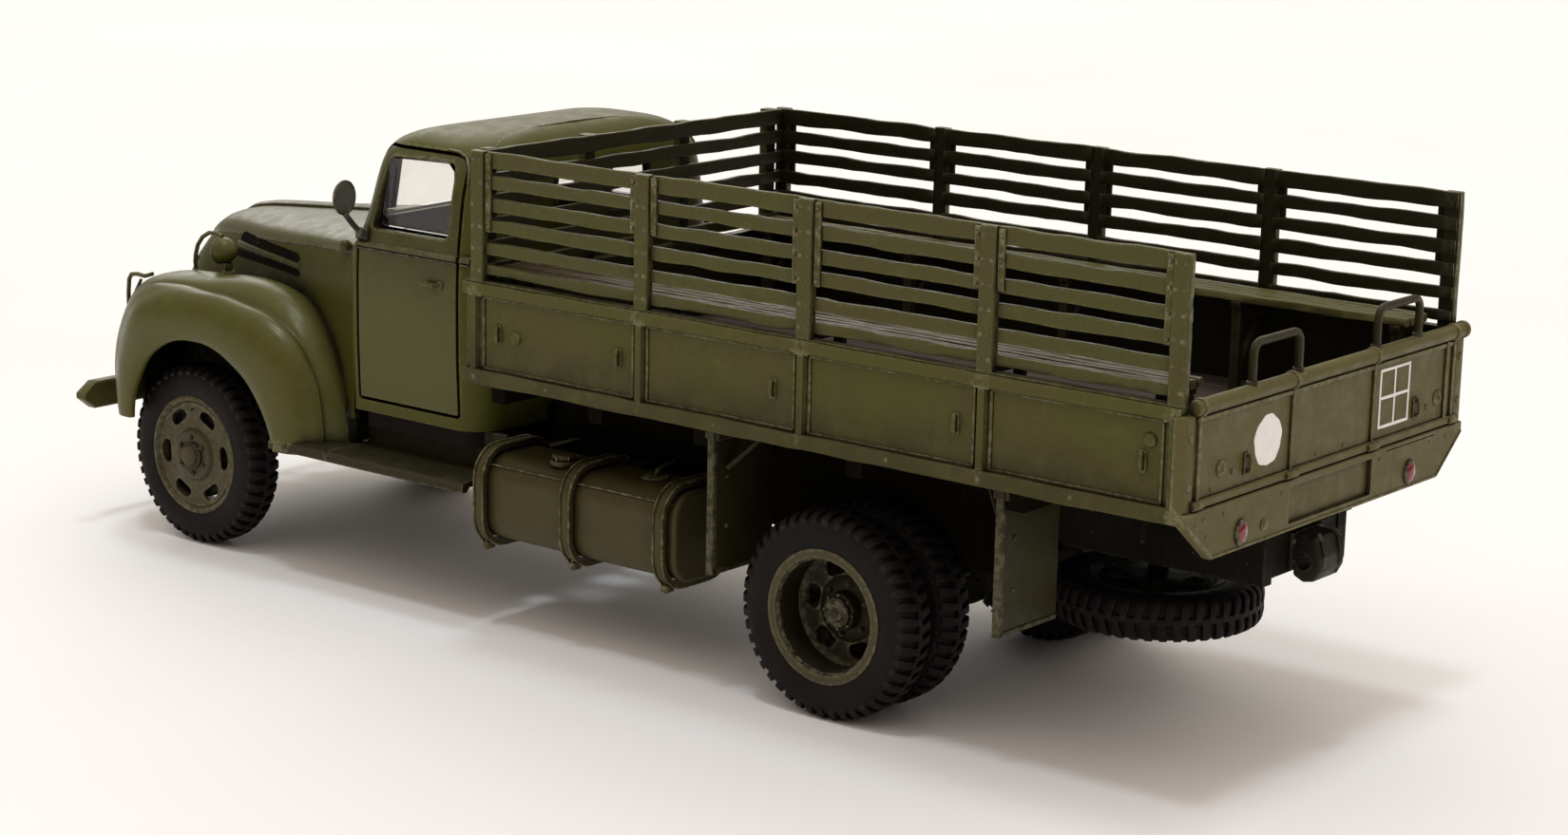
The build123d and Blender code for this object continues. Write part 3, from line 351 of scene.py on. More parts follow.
# =====================================================================  mesh making
class Solid:
    """Collects closed shapes, in millimetres from the rear axle, and becomes one mesh."""

    def __init__(self):
        self.v, self.f, self.m = [], [], []
        self.slot = 0

    def add(self, verts, faces):
        k = len(self.v)
        self.v += [tuple(p) for p in verts]
        self.f += [tuple(i + k for i in face) for face in faces]
        self.m += [self.slot] * len(faces)

    def join(self, other):
        """Takes in the shapes of another collection."""
        self.add(other.v, other.f)

    def box(self, x0, x1, y0, y1, z0, z1, c=0.07, turn=None):
        """A box with chamfered edges; turn is an optional matrix about its centre."""
        cx, cy, cz = (x0 + x1) / 2, (y0 + y1) / 2, (z0 + z1) / 2
        hx, hy, hz = abs(x1 - x0) / 2, abs(y1 - y0) / 2, abs(z1 - z0) / 2
        c = min(c, hx * 0.45, hy * 0.45, hz * 0.45)
        verts, index = [], {}
        for sx in (-1, 1):
            for sy in (-1, 1):
                for sz in (-1, 1):
                    for a, p in (("x", (hx, hy - c, hz - c)), ("y", (hx - c, hy, hz - c)), ("z", (hx - c, hy - c, hz))):
                        index[(a, sx, sy, sz)] = len(verts)
                        p = Vector((p[0] * sx, p[1] * sy, p[2] * sz))
                        if turn is not None:
                            p = turn @ p
                        verts.append((p[0] + cx, p[1] + cy, p[2] + cz))
        q = index
        faces = []
        for s in (-1, 1):
            faces.append([q[("x", s, -1, -1)], q[("x", s, 1, -1)], q[("x", s, 1, 1)], q[("x", s, -1, 1)]])
            faces.append([q[("y", -1, s, -1)], q[("y", 1, s, -1)], q[("y", 1, s, 1)], q[("y", -1, s, 1)]])
            faces.append([q[("z", -1, -1, s)], q[("z", 1, -1, s)], q[("z", 1, 1, s)], q[("z", -1, 1, s)]])
            for t in (-1, 1):
                faces.append([q[("x", s, t, -1)], q[("y", s, t, -1)], q[("y", s, t, 1)], q[("x", s, t, 1)]])
                faces.append([q[("x", s, -1, t)], q[("z", s, -1, t)], q[("z", s, 1, t)], q[("x", s, 1, t)]])
                faces.append([q[("y", -1, s, t)], q[("z", -1, s, t)], q[("z", 1, s, t)], q[("y", 1, s, t)]])
                for u in (-1, 1):
                    faces.append([q[("x", s, t, u)], q[("y", s, t, u)], q[("z", s, t, u)]])
        self.add(verts, faces)

    def rings(self, rings, cap=True, closed=False):
        """Quads between successive rings of the same number of points."""
        n = len(rings[0])
        verts = [p for ring in rings for p in ring]
        faces = []
        last = len(rings) if closed else len(rings) - 1
        for i in range(last):
            j = (i + 1) % len(rings)
            for k in range(n):
                l = (k + 1) % n
                faces.append((i * n + k, i * n + l, j * n + l, j * n + k))
        if cap and not closed:
            faces.append(tuple(range(n)))
            faces.append(tuple((len(rings) - 1) * n + k for k in reversed(range(n))))
        self.add(verts, faces)

    def plank(self, axis, a0, a1, u0, u1, v0, v1, steps=16, amp=0.04, c=0.06, seed=0.0):
        """A slightly uneven board along x or y; u and v are the other two directions in order."""
        rings = []
        for i in range(steps + 1):
            t = i / steps
            a = a0 + (a1 - a0) * t
            shrink = 0.06 if i in (0, steps) else 0.0
            def wob(k):
                return amp * noise.noise((a * 0.35, seed * 7.3 + k * 3.1, k * 1.7)) * 2.0 + amp * 0.6 * noise.noise((a * 1.6, seed * 3.3 + k, 9.1))
            p0, p1 = u0 + wob(0) * 0.5, u1 + wob(1) * 0.5
            q0, q1 = v0 + wob(2), v1 + wob(3)
            pts = [(p0 + c, q0), (p1 - c, q0), (p1, q0 + c), (p1, q1 - c), (p1 - c, q1), (p0 + c, q1), (p0, q1 - c), (p0, q0 + c)]
            if shrink:
                mu, mv = (p0 + p1) / 2, (q0 + q1) / 2
                pts = [(mu + (u - mu) * (1 - shrink), mv + (v - mv) * (1 - shrink * 0.6)) for u, v in pts]
            rings.append([(a, u, v) if axis == "x" else (u, a, v) if axis == "y" else (u, v, a) for u, v in pts])
        self.rings(rings)

    def cyl(self, p0, p1, r, n=20, c=0.0, r1=None):
        p0, p1 = Vector(p0), Vector(p1)
        d = (p1 - p0).normalized()
        side = d.orthogonal().normalized()
        up = d.cross(side)
        r1 = r if r1 is None else r1
        stations = [(p0, r)] + [(p1, r1)]
        if c:
            stations = [(p0, r - c), (p0 + d * c, r), (p1 - d * c, r1), (p1, r1 - c)]
        self.rings([[p + (side * math.cos(2 * math.pi * k / n) + up * math.sin(2 * math.pi * k / n)) * q for k in range(n)] for p, q in stations])

    def dome(self, p, normal, r, h, n=12):
        p, d = Vector(p), Vector(normal).normalized()
        side = d.orthogonal().normalized()
        up = d.cross(side)
        self.rings([[p + d * z + (side * math.cos(2 * math.pi * k / n) + up * math.sin(2 * math.pi * k / n)) * q for k in range(n)]
                    for z, q in ((-0.05, r), (h * 0.35, r * 0.97), (h * 0.75, r * 0.72), (h, r * 0.28))])

    def tube(self, points, r, n=10, closed=False, flat=None):
        """A round rod through points; corners are rounded by the points given."""
        pts = [Vector(p) for p in points]
        count = len(pts)
        rings, side = [], None
        for i, p in enumerate(pts):
            a = pts[(i - 1) % count] if closed or i > 0 else p
            b = pts[(i + 1) % count] if closed or i < count - 1 else p
            d = (b - a).normalized()
            side = d.orthogonal().normalized() if side is None else (side - d * side.dot(d)).normalized()
            up = d.cross(side)
            rings.append([p + (side * math.cos(2 * math.pi * k / n) + up * math.sin(2 * math.pi * k / n)) * r for k in range(n)])
        self.rings(rings, closed=closed)

    def revolve(self, profile, centre, axis, n=64, angle0=0.0):
        """A closed profile of (along, radius) pairs turned about axis through centre."""
        c, d = Vector(centre), Vector(axis).normalized()
        side = d.orthogonal().normalized()
        up = d.cross(side)
        rings = []
        for k in range(n):
            t = angle0 + 2 * math.pi * k / n
            w = side * math.cos(t) + up * math.sin(t)
            rings.append([c + d * a + w * r for a, r in profile])
        self.rings(rings, closed=True)

    def prism(self, outline, plane, a0, a1, c=0.0):
        """A polygon in the yz, xz or xy plane, drawn out along the third direction from a0 to a1."""
        def place(u, v, a):
            return (a, u, v) if plane == "yz" else (u, a, v) if plane == "xz" else (u, v, a)
        n = len(outline)
        cx, cy = sum(p[0] for p in outline) / n, sum(p[1] for p in outline) / n
        def inset(d):
            out = []
            for i in range(n):
                p, a, b = Vector(outline[i]), Vector(outline[i - 1]), Vector(outline[(i + 1) % n])
                e1, e2 = (p - a).normalized(), (b - p).normalized()
                n1, n2 = Vector((-e1[1], e1[0])), Vector((-e2[1], e2[0]))
                if area < 0:
                    n1, n2 = -n1, -n2
                m = (n1 + n2)
                m = m / max(m.length_squared / 2, 0.3) if m.length > 1e-6 else n1
                out.append(tuple(p + m * d))
            return out
        area = sum(outline[i][0] * outline[(i + 1) % n][1] - outline[(i + 1) % n][0] * outline[i][1] for i in range(n))
        s = 1 if a1 > a0 else -1
        if c:
            small = inset(c)
            levels = [(small, a0), (outline, a0 + s * c), (outline, a1 - s * c), (small, a1)]
        else:
            levels = [(outline, a0), (outline, a1)]
        self.rings([[place(u, v, a) for u, v in pts] for pts, a in levels])

    def mesh(self, name):
        mesh = bpy.data.meshes.new(name)
        mesh.from_pydata([at(*p) for p in self.v], [], self.f)
        bm = bmesh.new()
        bm.from_mesh(mesh)
        bmesh.ops.recalc_face_normals(bm, faces=bm.faces)
        bm.to_mesh(mesh)
        bm.free()
        mesh.polygons.foreach_set("material_index", self.m)
        return mesh


def smooth(mesh, angle=38.0):
    """Smooth faces with sharp edges where the surface turns by more than angle."""
    bm = bmesh.new()
    bm.from_mesh(mesh)
    limit = math.radians(angle)
    for e in bm.edges:
        e.smooth = not (len(e.link_faces) == 2 and e.calc_face_angle(0.0) > limit)
    for f in bm.faces:
        f.smooth = True
    bm.to_mesh(mesh)
    bm.free()


def piece(name, solid, materials, body=BODY, stands_for=(), angle=50.0, weighted=True):
    mesh = solid.mesh(name) if isinstance(solid, Solid) else solid
    smooth(mesh, angle)
    obj = bpy.data.objects.new(name, mesh)
    bpy.context.scene.collection.objects.link(obj)
    for m in ([materials] if isinstance(materials, str) else materials):
        mesh.materials.append(M[m])
    if weighted:
        mod = obj.modifiers.new("weighted", "WEIGHTED_NORMAL")
        mod.keep_sharp = True
    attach(obj, body)
    if stands_for:
        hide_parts(*stands_for)
    return obj


def plain_object(name, mesh):
    obj = bpy.data.objects.new(name, mesh)
    bpy.context.scene.collection.objects.link(obj)
    return obj


def evaluated(obj):
    """The object's mesh with its modifiers applied."""
    bpy.context.view_layer.update()
    dg = bpy.context.evaluated_depsgraph_get()
    return bpy.data.meshes.new_from_object(obj.evaluated_get(dg))


def carved(mesh, cutters, operation="DIFFERENCE"):
    """mesh less (or shared with) each cutter, all of them meshes."""
    a = plain_object("carve_a", mesh)
    temporary = [a]
    for i, cutter in enumerate(cutters):
        b = plain_object("carve_b%d" % i, cutter)
        temporary.append(b)
        mod = a.modifiers.new("cut%d" % i, "BOOLEAN")
        mod.operation = operation
        mod.solver = "EXACT"
        mod.object = b
    result = evaluated(a)
    for o in temporary:
        bpy.data.objects.remove(o)
    result.materials.clear()
    return result


def rounded(outline, radius, steps=4):
    """A polygon's corners turned into arcs; radius is one number or one for each corner."""
    n = len(outline)
    out = []
    for i in range(n):
        p, a, b = Vector(outline[i]), Vector(outline[i - 1]), Vector(outline[(i + 1) % n])
        r = radius[i] if hasattr(radius, "__len__") else radius
        u, w = (a - p).normalized(), (b - p).normalized()
        angle = u.angle(w)
        reach = min(r / math.tan(angle / 2), (a - p).length * 0.49, (b - p).length * 0.49) if r > 0 else 0
        if reach < 1e-4:
            out.append(tuple(p))
            continue
        s, e = p + u * reach, p + w * reach
        for k in range(steps + 1):
            t = k / steps
            out.append(tuple((s * (1 - t) + p * t) * (1 - t) + (p * (1 - t) + e * t) * t))
    return out


def between(table, value):
    """Linear look-up in a table of (key, value, ...) rows sorted by key."""
    if value <= table[0][0]:
        return table[0][1:]
    for a, b in zip(table, table[1:]):
        if value <= b[0]:
            t = (value - a[0]) / (b[0] - a[0])
            return tuple(p + (q - p) * t for p, q in zip(a[1:], b[1:]))
    return table[-1][1:]


# =====================================================================  cab
# z, half width, front y, rear y, front corner radius, rear corner radius
CAB_LEVELS = [
    (11.7, 11.50, -40.90, -29.50, 0.5, 2.2),
    (14.5, 11.62, -40.90, -29.50, 0.5, 2.2),
    (17.0, 11.70, -40.90, -29.50, 0.5, 2.2),
    (20.0, 11.70, -40.90, -29.50, 0.5, 2.2),
    (22.4, 11.62, -40.90, -29.50, 0.5, 2.2),
    (23.0, 11.57, -40.75, -29.50, 1.1, 2.2),
    (24.4, 11.43, -40.42, -29.50, 1.6, 2.3),
    (26.5, 11.18, -40.00, -29.50, 1.8, 2.5),
    (27.9, 10.84, -39.76, -29.56, 1.8, 2.7),
    (28.7, 10.44, -39.62, -29.75, 1.8, 2.8),
    (29.3, 9.90, -39.38, -30.10, 2.1, 2.9),
    (29.75, 9.05, -38.75, -30.65, 2.2, 2.8),
    (30.08, 7.65, -37.55, -31.25, 2.2, 2.4),
    (30.30, 5.70, -36.30, -31.90, 2.0, 1.8),
    (30.44, 3.40, -35.20, -32.70, 1.2, 1.1),
    (30.49, 1.20, -34.60, -33.50, 0.5, 0.5),
]


def smooth_rows(table, step):
    """Rows of a table read off a smooth curve through them, every step of the first column or finer near the end."""
    keys = [r[0] for r in table]
    out = []
    for i in range(len(table) - 1):
        p0, p1, p2, p3 = table[max(i - 1, 0)], table[i], table[i + 1], table[min(i + 2, len(table) - 1)]
        count = max(3, int((keys[i + 1] - keys[i]) / step))
        for k in range(count):
            t = k / count
            k0, k1, k2, k3 = p0[0], p1[0], p2[0], p3[0]
            key = k1 + (k2 - k1) * t
            values = [key]
            for j in range(1, len(p1)):
                h = k2 - k1
                s = (p2[j] - p1[j]) / h
                s0 = (p1[j] - p0[j]) / (k1 - k0) if k1 > k0 else s
                s1 = (p3[j] - p2[j]) / (k3 - k2) if k3 > k2 else s
                m1 = 0.0 if s0 * s <= 0 else 2 * s0 * s / (s0 + s)
                m2 = 0.0 if s1 * s <= 0 else 2 * s1 * s / (s1 + s)
                t2, t3 = t * t, t * t * t
                values.append(p1[j] * (2 * t3 - 3 * t2 + 1) + m1 * h * (t3 - 2 * t2 + t) + p2[j] * (-2 * t3 + 3 * t2) + m2 * h * (t3 - t2))
            out.append(tuple(values))
    out.append(table[-1])
    return out


def cab_ring(z, half, front, rear, r_front, r_rear, d=0.0):
    """A plan section of the cab: a rectangle with rounded corners, drawn in by d."""
    w, f, b = half - d, front + d, rear - d
    rf, rr = max(r_front - d * 0.7, 0.3), max(r_rear - d * 0.7, 0.3)
    pts = []
    for cx, cy, r, a0 in ((w - rr, b - rr, rr, 0), (-(w - rr), b - rr, rr, 90), (-(w - rf), f + rf, rf, 180), (w - rf, f + rf, rf, 270)):
        for k in range(9):
            a = math.radians(a0 + 90 * k / 8)
            pts.append((cx + r * math.cos(a), cy + r * math.sin(a)))
    # extra points along the straight runs keep the quads even
    out = []
    for i, p in enumerate(pts):
        q = pts[(i + 1) % len(pts)]
        out.append(p)
        run = math.hypot(q[0] - p[0], q[1] - p[1])
        if i % 9 == 8:
            for k in range(1, 8):
                out.append((p[0] + (q[0] - p[0]) * k / 8, p[1] + (q[1] - p[1]) * k / 8))
    return [(x, y, z) for x, y in out]


def cab_solid(d=0.0, z0=None):
    rows = smooth_rows(CAB_LEVELS, 0.5)
    if d:
        rings = []
        for z, w, f, b, rf, rr in rows:
            lift = d * between([(11.0, 0.0), (27.0, 0.0), (29.0, 0.35), (30.0, 0.85), (30.5, 1.0)], z)[0]
            sink = d * between([(11.0, 1.0), (28.0, 1.0), (29.4, 0.7), (30.1, 0.35), (30.5, 0.1)], z)[0]
            rings.append(cab_ring(z - lift, w, f, b, rf, rr, min(sink, w * 0.5)))
        first = [(x, y, 10.5) for x, y, z in rings[0]]
        rings = [first] + rings
    else:
        rings = [cab_ring(*r) for r in rows]
    s = Solid()
    s.rings(rings)
    return s


DOOR = rounded([(-40.25, 12.45), (-31.16, 12.45), (-31.22, 29.15), (-38.75, 29.15), (-39.45, 28.2), (-40.25, 22.7)], [0.35, 0.35, 1.4, 0.3, 0.3, 0.9])
WINDOW = rounded([(-39.00, 23.75), (-32.20, 23.75), (-32.20, 28.60), (-38.00, 28.42)], [0.30, 0.55, 0.85, 0.40])


def side_prism(outline, x0, x1, grow=0.0, shift=(0, 0)):
    s = Solid()
    if grow:
        n = len(outline)
        area = sum(outline[i][0] * outline[(i + 1) % n][1] - outline[(i + 1) % n][0] * outline[i][1] for i in range(n))
        sign = 1 if area > 0 else -1
        moved = []
        for i in range(n):
            p, a, b = Vector(outline[i]), Vector(outline[i - 1]), Vector(outline[(i + 1) % n])
            t = (b - a).normalized()
            moved.append((p[0] + t[1] * grow * sign, p[1] - t[0] * grow * sign))
        outline = moved
    s.prism(outline, "yz", x0, x1)
    return s


def cutter(solid, name="cutter"):
    return solid.mesh(name)


cab_walls = carved(cab_solid().mesh("cab_outer"), [cutter(cab_solid(0.62))])
front_cuts = Solid()
for s in (-1, 1):
    # the two panes of the windscreen, cut square to the raked front
    front_cuts.prism(rounded([(s * 0.40, 24.3), (s * 9.35, 24.2), (s * 9.15, 27.5), (s * 8.5, 28.3), (s * 0.40, 28.45)], [0.35, 0.5, 0.6, 0.5, 0.35]), "xz", -42.5, -35.5)
rear_window = Solid()
rear_window.prism(rounded([(-4.5, 24.6), (4.5, 24.6), (4.5, 27.9), (-4.5, 27.9)], 0.9), "xz", -31.2, -28.0)
under = Solid()
under.box(-5.2, 5.2, -44, -38.5, 10.0, 13.4, c=0.02)
under.box(-5.2, 5.2, -31.5, -28, 10.0, 12.7, c=0.02)
cab_cut = carved(cab_walls.copy(), [cutter(side_prism(DOOR, 8.4, 13.0)), cutter(side_prism(DOOR, -13.0, -8.4)), cutter(front_cuts), cutter(rear_window), cutter(under)])
piece("cab_shell", cab_cut, "roof", stands_for=("cab_roof", "cab_back", "cab_front"), angle=34)

for side, name in ((1, "door_left"), (-1, "door_right")):
    zone = side_prism(DOOR, side * 8.4, side * 13.0, grow=-0.22)
    hole = side_prism(WINDOW, side * 8.0, side * 13.5)
    skin = carved(cab_walls.copy(), [cutter(zone)], "INTERSECT")
    skin = carved(skin, [cutter(hole)])
    piece("skin_" + name, skin, "cab", stands_for=(name,), angle=34)
    fit = Solid()

    def face_x(z, y=None):
        """The cab side's own half width at z."""
        return between([(r[0], r[1]) for r in CAB_LEVELS], z)[0]

    def on_side(y, z, out=0.0):
        return (side * (face_x(z) + out), y, z)

    # belt moulding, in two runs with the shut line between, on a slim step
    for y0, y1 in ((-40.15, -31.30), (-31.0, -30.15)):
        fit.rings([[on_side(y0 + (y1 - y0) * k / 12, 22.95, -0.1), on_side(y0 + (y1 - y0) * k / 12, 22.90, 0.10), on_side(y0 + (y1 - y0) * k / 12, 22.76, 0.20),
                    on_side(y0 + (y1 - y0) * k / 12, 22.58, 0.18), on_side(y0 + (y1 - y0) * k / 12, 22.50, 0.04), on_side(y0 + (y1 - y0) * k / 12, 22.48, -0.1)] for k in range(13)])
    # lip round the window opening
    rim, count = [], len(WINDOW)
    for i in range(count):
        y, z = WINDOW[i]
        a, b = Vector(WINDOW[i - 1]), Vector(WINDOW[(i + 1) % count])
        t = (b - a).normalized()
        ny, nz = -t[1], t[0]          # points into the opening (the outline runs anticlockwise)
        ring = []
        for off, out in ((0.03, -0.35), (0.03, 0.02), (0.0, 0.05), (-0.08, 0.05), (-0.12, 0.02), (-0.12, -0.35)):
            yy, zz = y + ny * off, z + nz * off
            ring.append((side * (face_x(zz) + out), yy, zz))
        rim.append(ring)
    fit.rings(rim, closed=True)
    # door handle: lever on an escutcheon
    fit.dome(on_side(-32.75, 20.9, 0.0), (side, 0, 0), 0.32, 0.20)
    fit.tube([on_side(-32.75, 20.9, 0.15), on_side(-32.95, 20.9, 0.42), on_side(-33.4, 20.9, 0.46), on_side(-34.0, 20.9, 0.42), on_side(-34.15, 20.9, 0.36)], 0.15, 8)
    piece("fittings_" + name, fit, "cab", angle=40)

trim = Solid()
# the cowl's knobs, and the short drip moulding over the door's rear corner
for side in (-1, 1):
    trim.dome((side * 10.0, -42.95, 21.85), (side * 0.6, 0, 1), 0.45, 0.55, 16)
    rows = smooth_rows(CAB_LEVELS, 0.5)
    bead = []
    for z, y in ((29.22, -33.6), (29.18, -32.6), (28.95, -31.75), (28.45, -31.25), (27.9, -31.0), (27.4, -30.95)):
        bead.append((side * (between([(r[0], r[1]) for r in rows], z)[0] + 0.02), y, z))
    trim.tube(bead, 0.10, 6)
seam = []
for k in range(25):
    x = -9.4 + 18.8 * k / 24
    z = between([(0.0, 30.30), (4.0, 30.22), (6.6, 29.98), (8.2, 29.62), (9.4, 28.95)], abs(x))[0]
    y = between([(0.0, -31.95), (4.0, -31.95), (6.6, -31.65), (8.2, -31.2), (9.4, -30.45)], abs(x))[0]
    seam.append((x, y, z + 0.03))
trim.tube(seam, 0.09, 6)
piece("cab_trim", trim, "cab", angle=40)

frames = Solid()
# rubber round the windscreen panes and the rear window
for s in (-1, 1):
    pane = rounded([(s * 0.40, 24.3), (s * 9.35, 24.2), (s * 9.15, 27.5), (s * 8.5, 28.3), (s * 0.40, 28.45)], [0.35, 0.5, 0.6, 0.5, 0.35])
    line = []
    for x, z in pane:
        half, front, rf = between([(r[0], r[1], r[2], r[4]) for r in CAB_LEVELS], z)
        corner = half - rf
        back = rf - math.sqrt(max(rf * rf - max(abs(x) - corner, 0.0) ** 2, 0.0))
        line.append((x, front + back - 0.02, z))
    frames.tube(line, 0.13, 6, closed=True)
frames.tube([(x, -29.47, z) for x, z in rounded([(-4.5, 24.6), (4.5, 24.6), (4.5, 27.9), (-4.5, 27.9)], 0.9)], 0.14, 6, closed=True)
piece("window_rubbers", frames, "black", angle=60)

# =====================================================================  hood and nose
HOOD_SECTIONS = [
    # y, seam half width, mid half width, low half width, seam z, crown z
    (-40.9, 10.50, 11.35, 11.30, 21.62, 23.00),
    (-43.5, 9.65, 10.35, 10.25, 21.45, 22.85),
    (-46.0, 8.80, 9.55, 9.45, 21.30, 22.68),
    (-49.0, 7.95, 8.50, 8.45, 21.05, 22.45),
    (-52.0, 7.10, 7.65, 7.70, 20.75, 22.22),
    (-55.0, 6.25, 7.05, 7.15, 20.52, 21.98),
    (-58.0, 5.20, 6.6, 6.8, 20.30, 21.75),
    (-60.2, 4.50, 6.2, 6.55, 20.12, 21.55),
    (-62.0, 3.90, 5.8, 6.2, 19.90, 21.25),
    (-63.4, 3.20, 5.35, 5.8, 19.55, 20.55),
    (-64.4, 2.60, 4.85, 5.4, 19.00, 19.75),
]


def hood_row(y, grow=0.0):
    rows = [(r[0],) + r[1:] for r in sorted(HOOD_SECTIONS)]
    return between(rows, y)


def hood_cross(y, top=True):
    seam, mid, low, sz, cz = hood_row(y)
    rise = cz - sz
    pts = []
    n = 18
    for k in range(n + 1):
        t = math.pi * k / n
        x = math.cos(t)
        # flattened ellipse with a full shoulder
        z = math.sin(t)
        shape = 2.5
        xx = math.copysign(abs(x) ** (2 / shape), x)
        zz = abs(z) ** (2 / shape)
        pts.append((seam * xx, sz + rise * zz))
    return pts


def nose_y(step=0.75, start=-64.4, end=-40.95):
    count = int((end - start) / step)
    return [start + (end - start) * i / count for i in range(count + 1)]


hood = Solid()
rings = []
for y in nose_y():
    upper = hood_cross(y)
    seam, mid, low, sz, cz = hood_row(y)
    inner = [(x * (1 - 0.55 / max(seam, 2.0)), z - 0.5) for x, z in reversed(upper)]
    rings.append([(x, y, z) for x, z in upper + inner])
# the hood's nose turns down ahead of the first section
seam, mid, low, sz, cz = hood_row(-64.4)
lead = []
for drop, ahead, narrow in ((0.42, 0.55, 0.90), (1.05, 0.85, 0.72)):
    upper = [(x * narrow, z - drop) for x, z in hood_cross(-64.4)]
    inner = [(x * 0.8 * narrow, z - drop - 0.35) for x, z in reversed(hood_cross(-64.4))]
    lead.insert(0, [(x, -64.4 - ahead, z) for x, z in upper + inner])
hood.rings(lead + rings)
piece("hood_skin", hood, "cab", stands_for=("hood",), angle=40)

strip = Solid()
pts = []
for y in nose_y(0.75, -63.9, -41.0):
    cz = hood_row(y)[4]
    lift = between([(-63.9, 0.05), (-63.0, 0.30), (-41.0, 0.30)], y)[0]
    pts.append([(0.62, y, cz - 0.12), (0.55, y, cz + lift * 0.55), (0.30, y, cz + lift), (-0.30, y, cz + lift), (-0.55, y, cz + lift * 0.55), (-0.62, y, cz - 0.12)])
strip.rings(pts)
piece("hood_centre_strip", strip, "cab", angle=40)


def nose_side(y):
    """Half section of the nose below the seam, from the seam down."""
    seam, mid, low, sz, cz = hood_row(y)
    return [(seam, sz), (seam + (mid - seam) * 0.22, sz - 0.35), (seam + (mid - seam) * 0.55, sz - 1.1), (seam + (mid - seam) * 0.83, sz - 2.2),
            (mid, sz - 3.6), (mid + (low - mid) * 0.6, 13.6), (low, 10.9)]


nose = Solid()
rings = []
for y in nose_y():
    right = nose_side(y)
    seam, mid, low, sz, cz = hood_row(y)
    out = right
    inn = [(x - 0.55, z if i else z - 0.05) for i, (x, z) in enumerate(right)]
    rings.append((y, out, inn))
for s in (-1, 1):
    nose.rings([[(s * x, y, z) for x, z in out + list(reversed(inn))] for y, out, inn in rings])
# rounded front between the sides: the shell that carries the grille
front = Solid()
cols = 28
levels = [(10.9, 5.4, -64.6), (13.0, 5.25, -65.0), (15.0, 4.95, -65.25), (16.8, 4.35, -65.35), (18.0, 3.55, -65.25), (18.9, 2.6, -65.05)]
outer, back = [], []
for z, w, y0 in levels:
    row, row2 = [], []
    for k in range(cols + 1):
        t = -1 + 2 * k / cols
        x = w * math.sin(t * math.pi / 2)
        y = -64.35 + (y0 + 64.35) * math.cos(t * math.pi / 2) ** 0.8 if abs(t) < 1 else -64.35
        row.append((x, y, z))
        row2.append((x * 0.92, y + 0.5, z))
    outer.append(row)
    back.append(row2)
front.rings([a + list(reversed(b)) for a, b in zip(outer, back)])
bars_cut = Solid()
for i in range(-4, 5):
    h = between([(0, 17.6), (4, 16.0)], abs(i))[0]
    bars_cut.prism(rounded([(i * 0.82 - 0.20, 11.9), (i * 0.82 + 0.20, 11.9), (i * 0.82 + 0.20, h), (i * 0.82 - 0.20, h)], 0.18, 3), "xz", -67.0, -63.0)
front_mesh = carved(front.mesh("nose_front"), [cutter(bars_cut)])
piece("nose_sides", nose, "nose", stands_for=("nose_shell", "grille_bars"), angle=40)
piece("nose_front", front_mesh, "nose", angle=40)
backing = Solid()
backing.box(-4.6, 4.6, -63.9, -63.2, 11.2, 18.0, c=0.1)
piece("radiator_core", backing, "chassis", angle=40)

louvres = Solid()
recesses = Solid()
for s in (-1, 1):
    def beside(y, z):
        """Half width of the nose at a station and height."""
        return between([(q[1], q[0]) for q in reversed(nose_side(y))], z)[0]

    # pressed slots as strips in deep-shadow paint, painted shade, with a raised rib between each pair
    for j, (za, zb, deep) in enumerate(((20.20, 20.01, 0.32), (19.20, 19.06, 0.22))):
        rings = []
        y0, y1 = -58.3, -49.35 + 0.25 * j
        for k in range(25):
            t = k / 24
            y = y0 + (y1 - y0) * t
            z = za + (zb - za) * t
            half = deep * math.sqrt(max(1 - max((t - 0.95) / 0.05, (0.05 - t) / 0.05, 0.0) ** 2, 0.03))
            rings.append([(s * (beside(y, z + half) - 0.05), y, z + half), (s * (beside(y, z + half) + 0.03), y, z + half), (s * (beside(y, z - half) + 0.03), y, z - half), (s * (beside(y, z - half) - 0.05), y, z - half)])
        recesses.rings(rings)
    for j, (za, zb) in enumerate(((19.70, 19.52),)):
        rings = []
        y0, y1 = -58.3, -49.1 + 0.25 * j
        for k in range(25):
            t = k / 24
            y = y0 + (y1 - y0) * t
            z = za + (zb - za) * t
            x = beside(y, z)
            swell = 0.20 * max(1 - max((t - 0.93) / 0.07, (0.07 - t) / 0.07, 0.0) ** 2, 0.05)
            rings.append([(s * (x - 0.10), y, z + 0.21), (s * (x + swell * 0.7), y, z + 0.17), (s * (x + swell), y, z + 0.02), (s * (x + swell * 0.9), y, z - 0.12), (s * (x - 0.05), y, z - 0.18)])
        louvres.rings(rings)
piece("hood_louvres", louvres, "nose", angle=40)
piece("louvre_recesses", recesses, "void", angle=40)

# painted shade: a dark sheet just inside the cab's walls for the unlit inside, and a painted shadow line under the belt
# moulding
liner = carved(cab_solid(0.635).mesh("liner"), [cutter(cab_solid(0.70))])
inner_shade_cuts = [cutter(side_prism(WINDOW, s * 8.0, s * 13.5, grow=0.05)) for s in (-1, 1)]
liner = carved(liner, inner_shade_cuts + [cutter(front_cuts), cutter(rear_window)])
piece("cab_lining", liner, "liner", angle=34)
lines = Solid()
for s in (-1, 1):
    # painted shadow line under the belt moulding
    for y0, y1 in ((-40.1, -31.35), (-31.0, -30.3)):
        lines.tube([(s * (between([(r[0], r[1]) for r in CAB_LEVELS], 22.40)[0] + 0.01), y0 + (y1 - y0) * k / 8, 22.40) for k in range(9)], 0.075, 6)
    # the seam between the hood and its side
    lines.tube([(s * (hood_row(y)[0] + 0.005), y, hood_row(y)[3] - 0.02) for y in nose_y(0.9, -62.5, -41.0)], 0.05, 5)
piece("panel_lines", lines, "iron", angle=60)

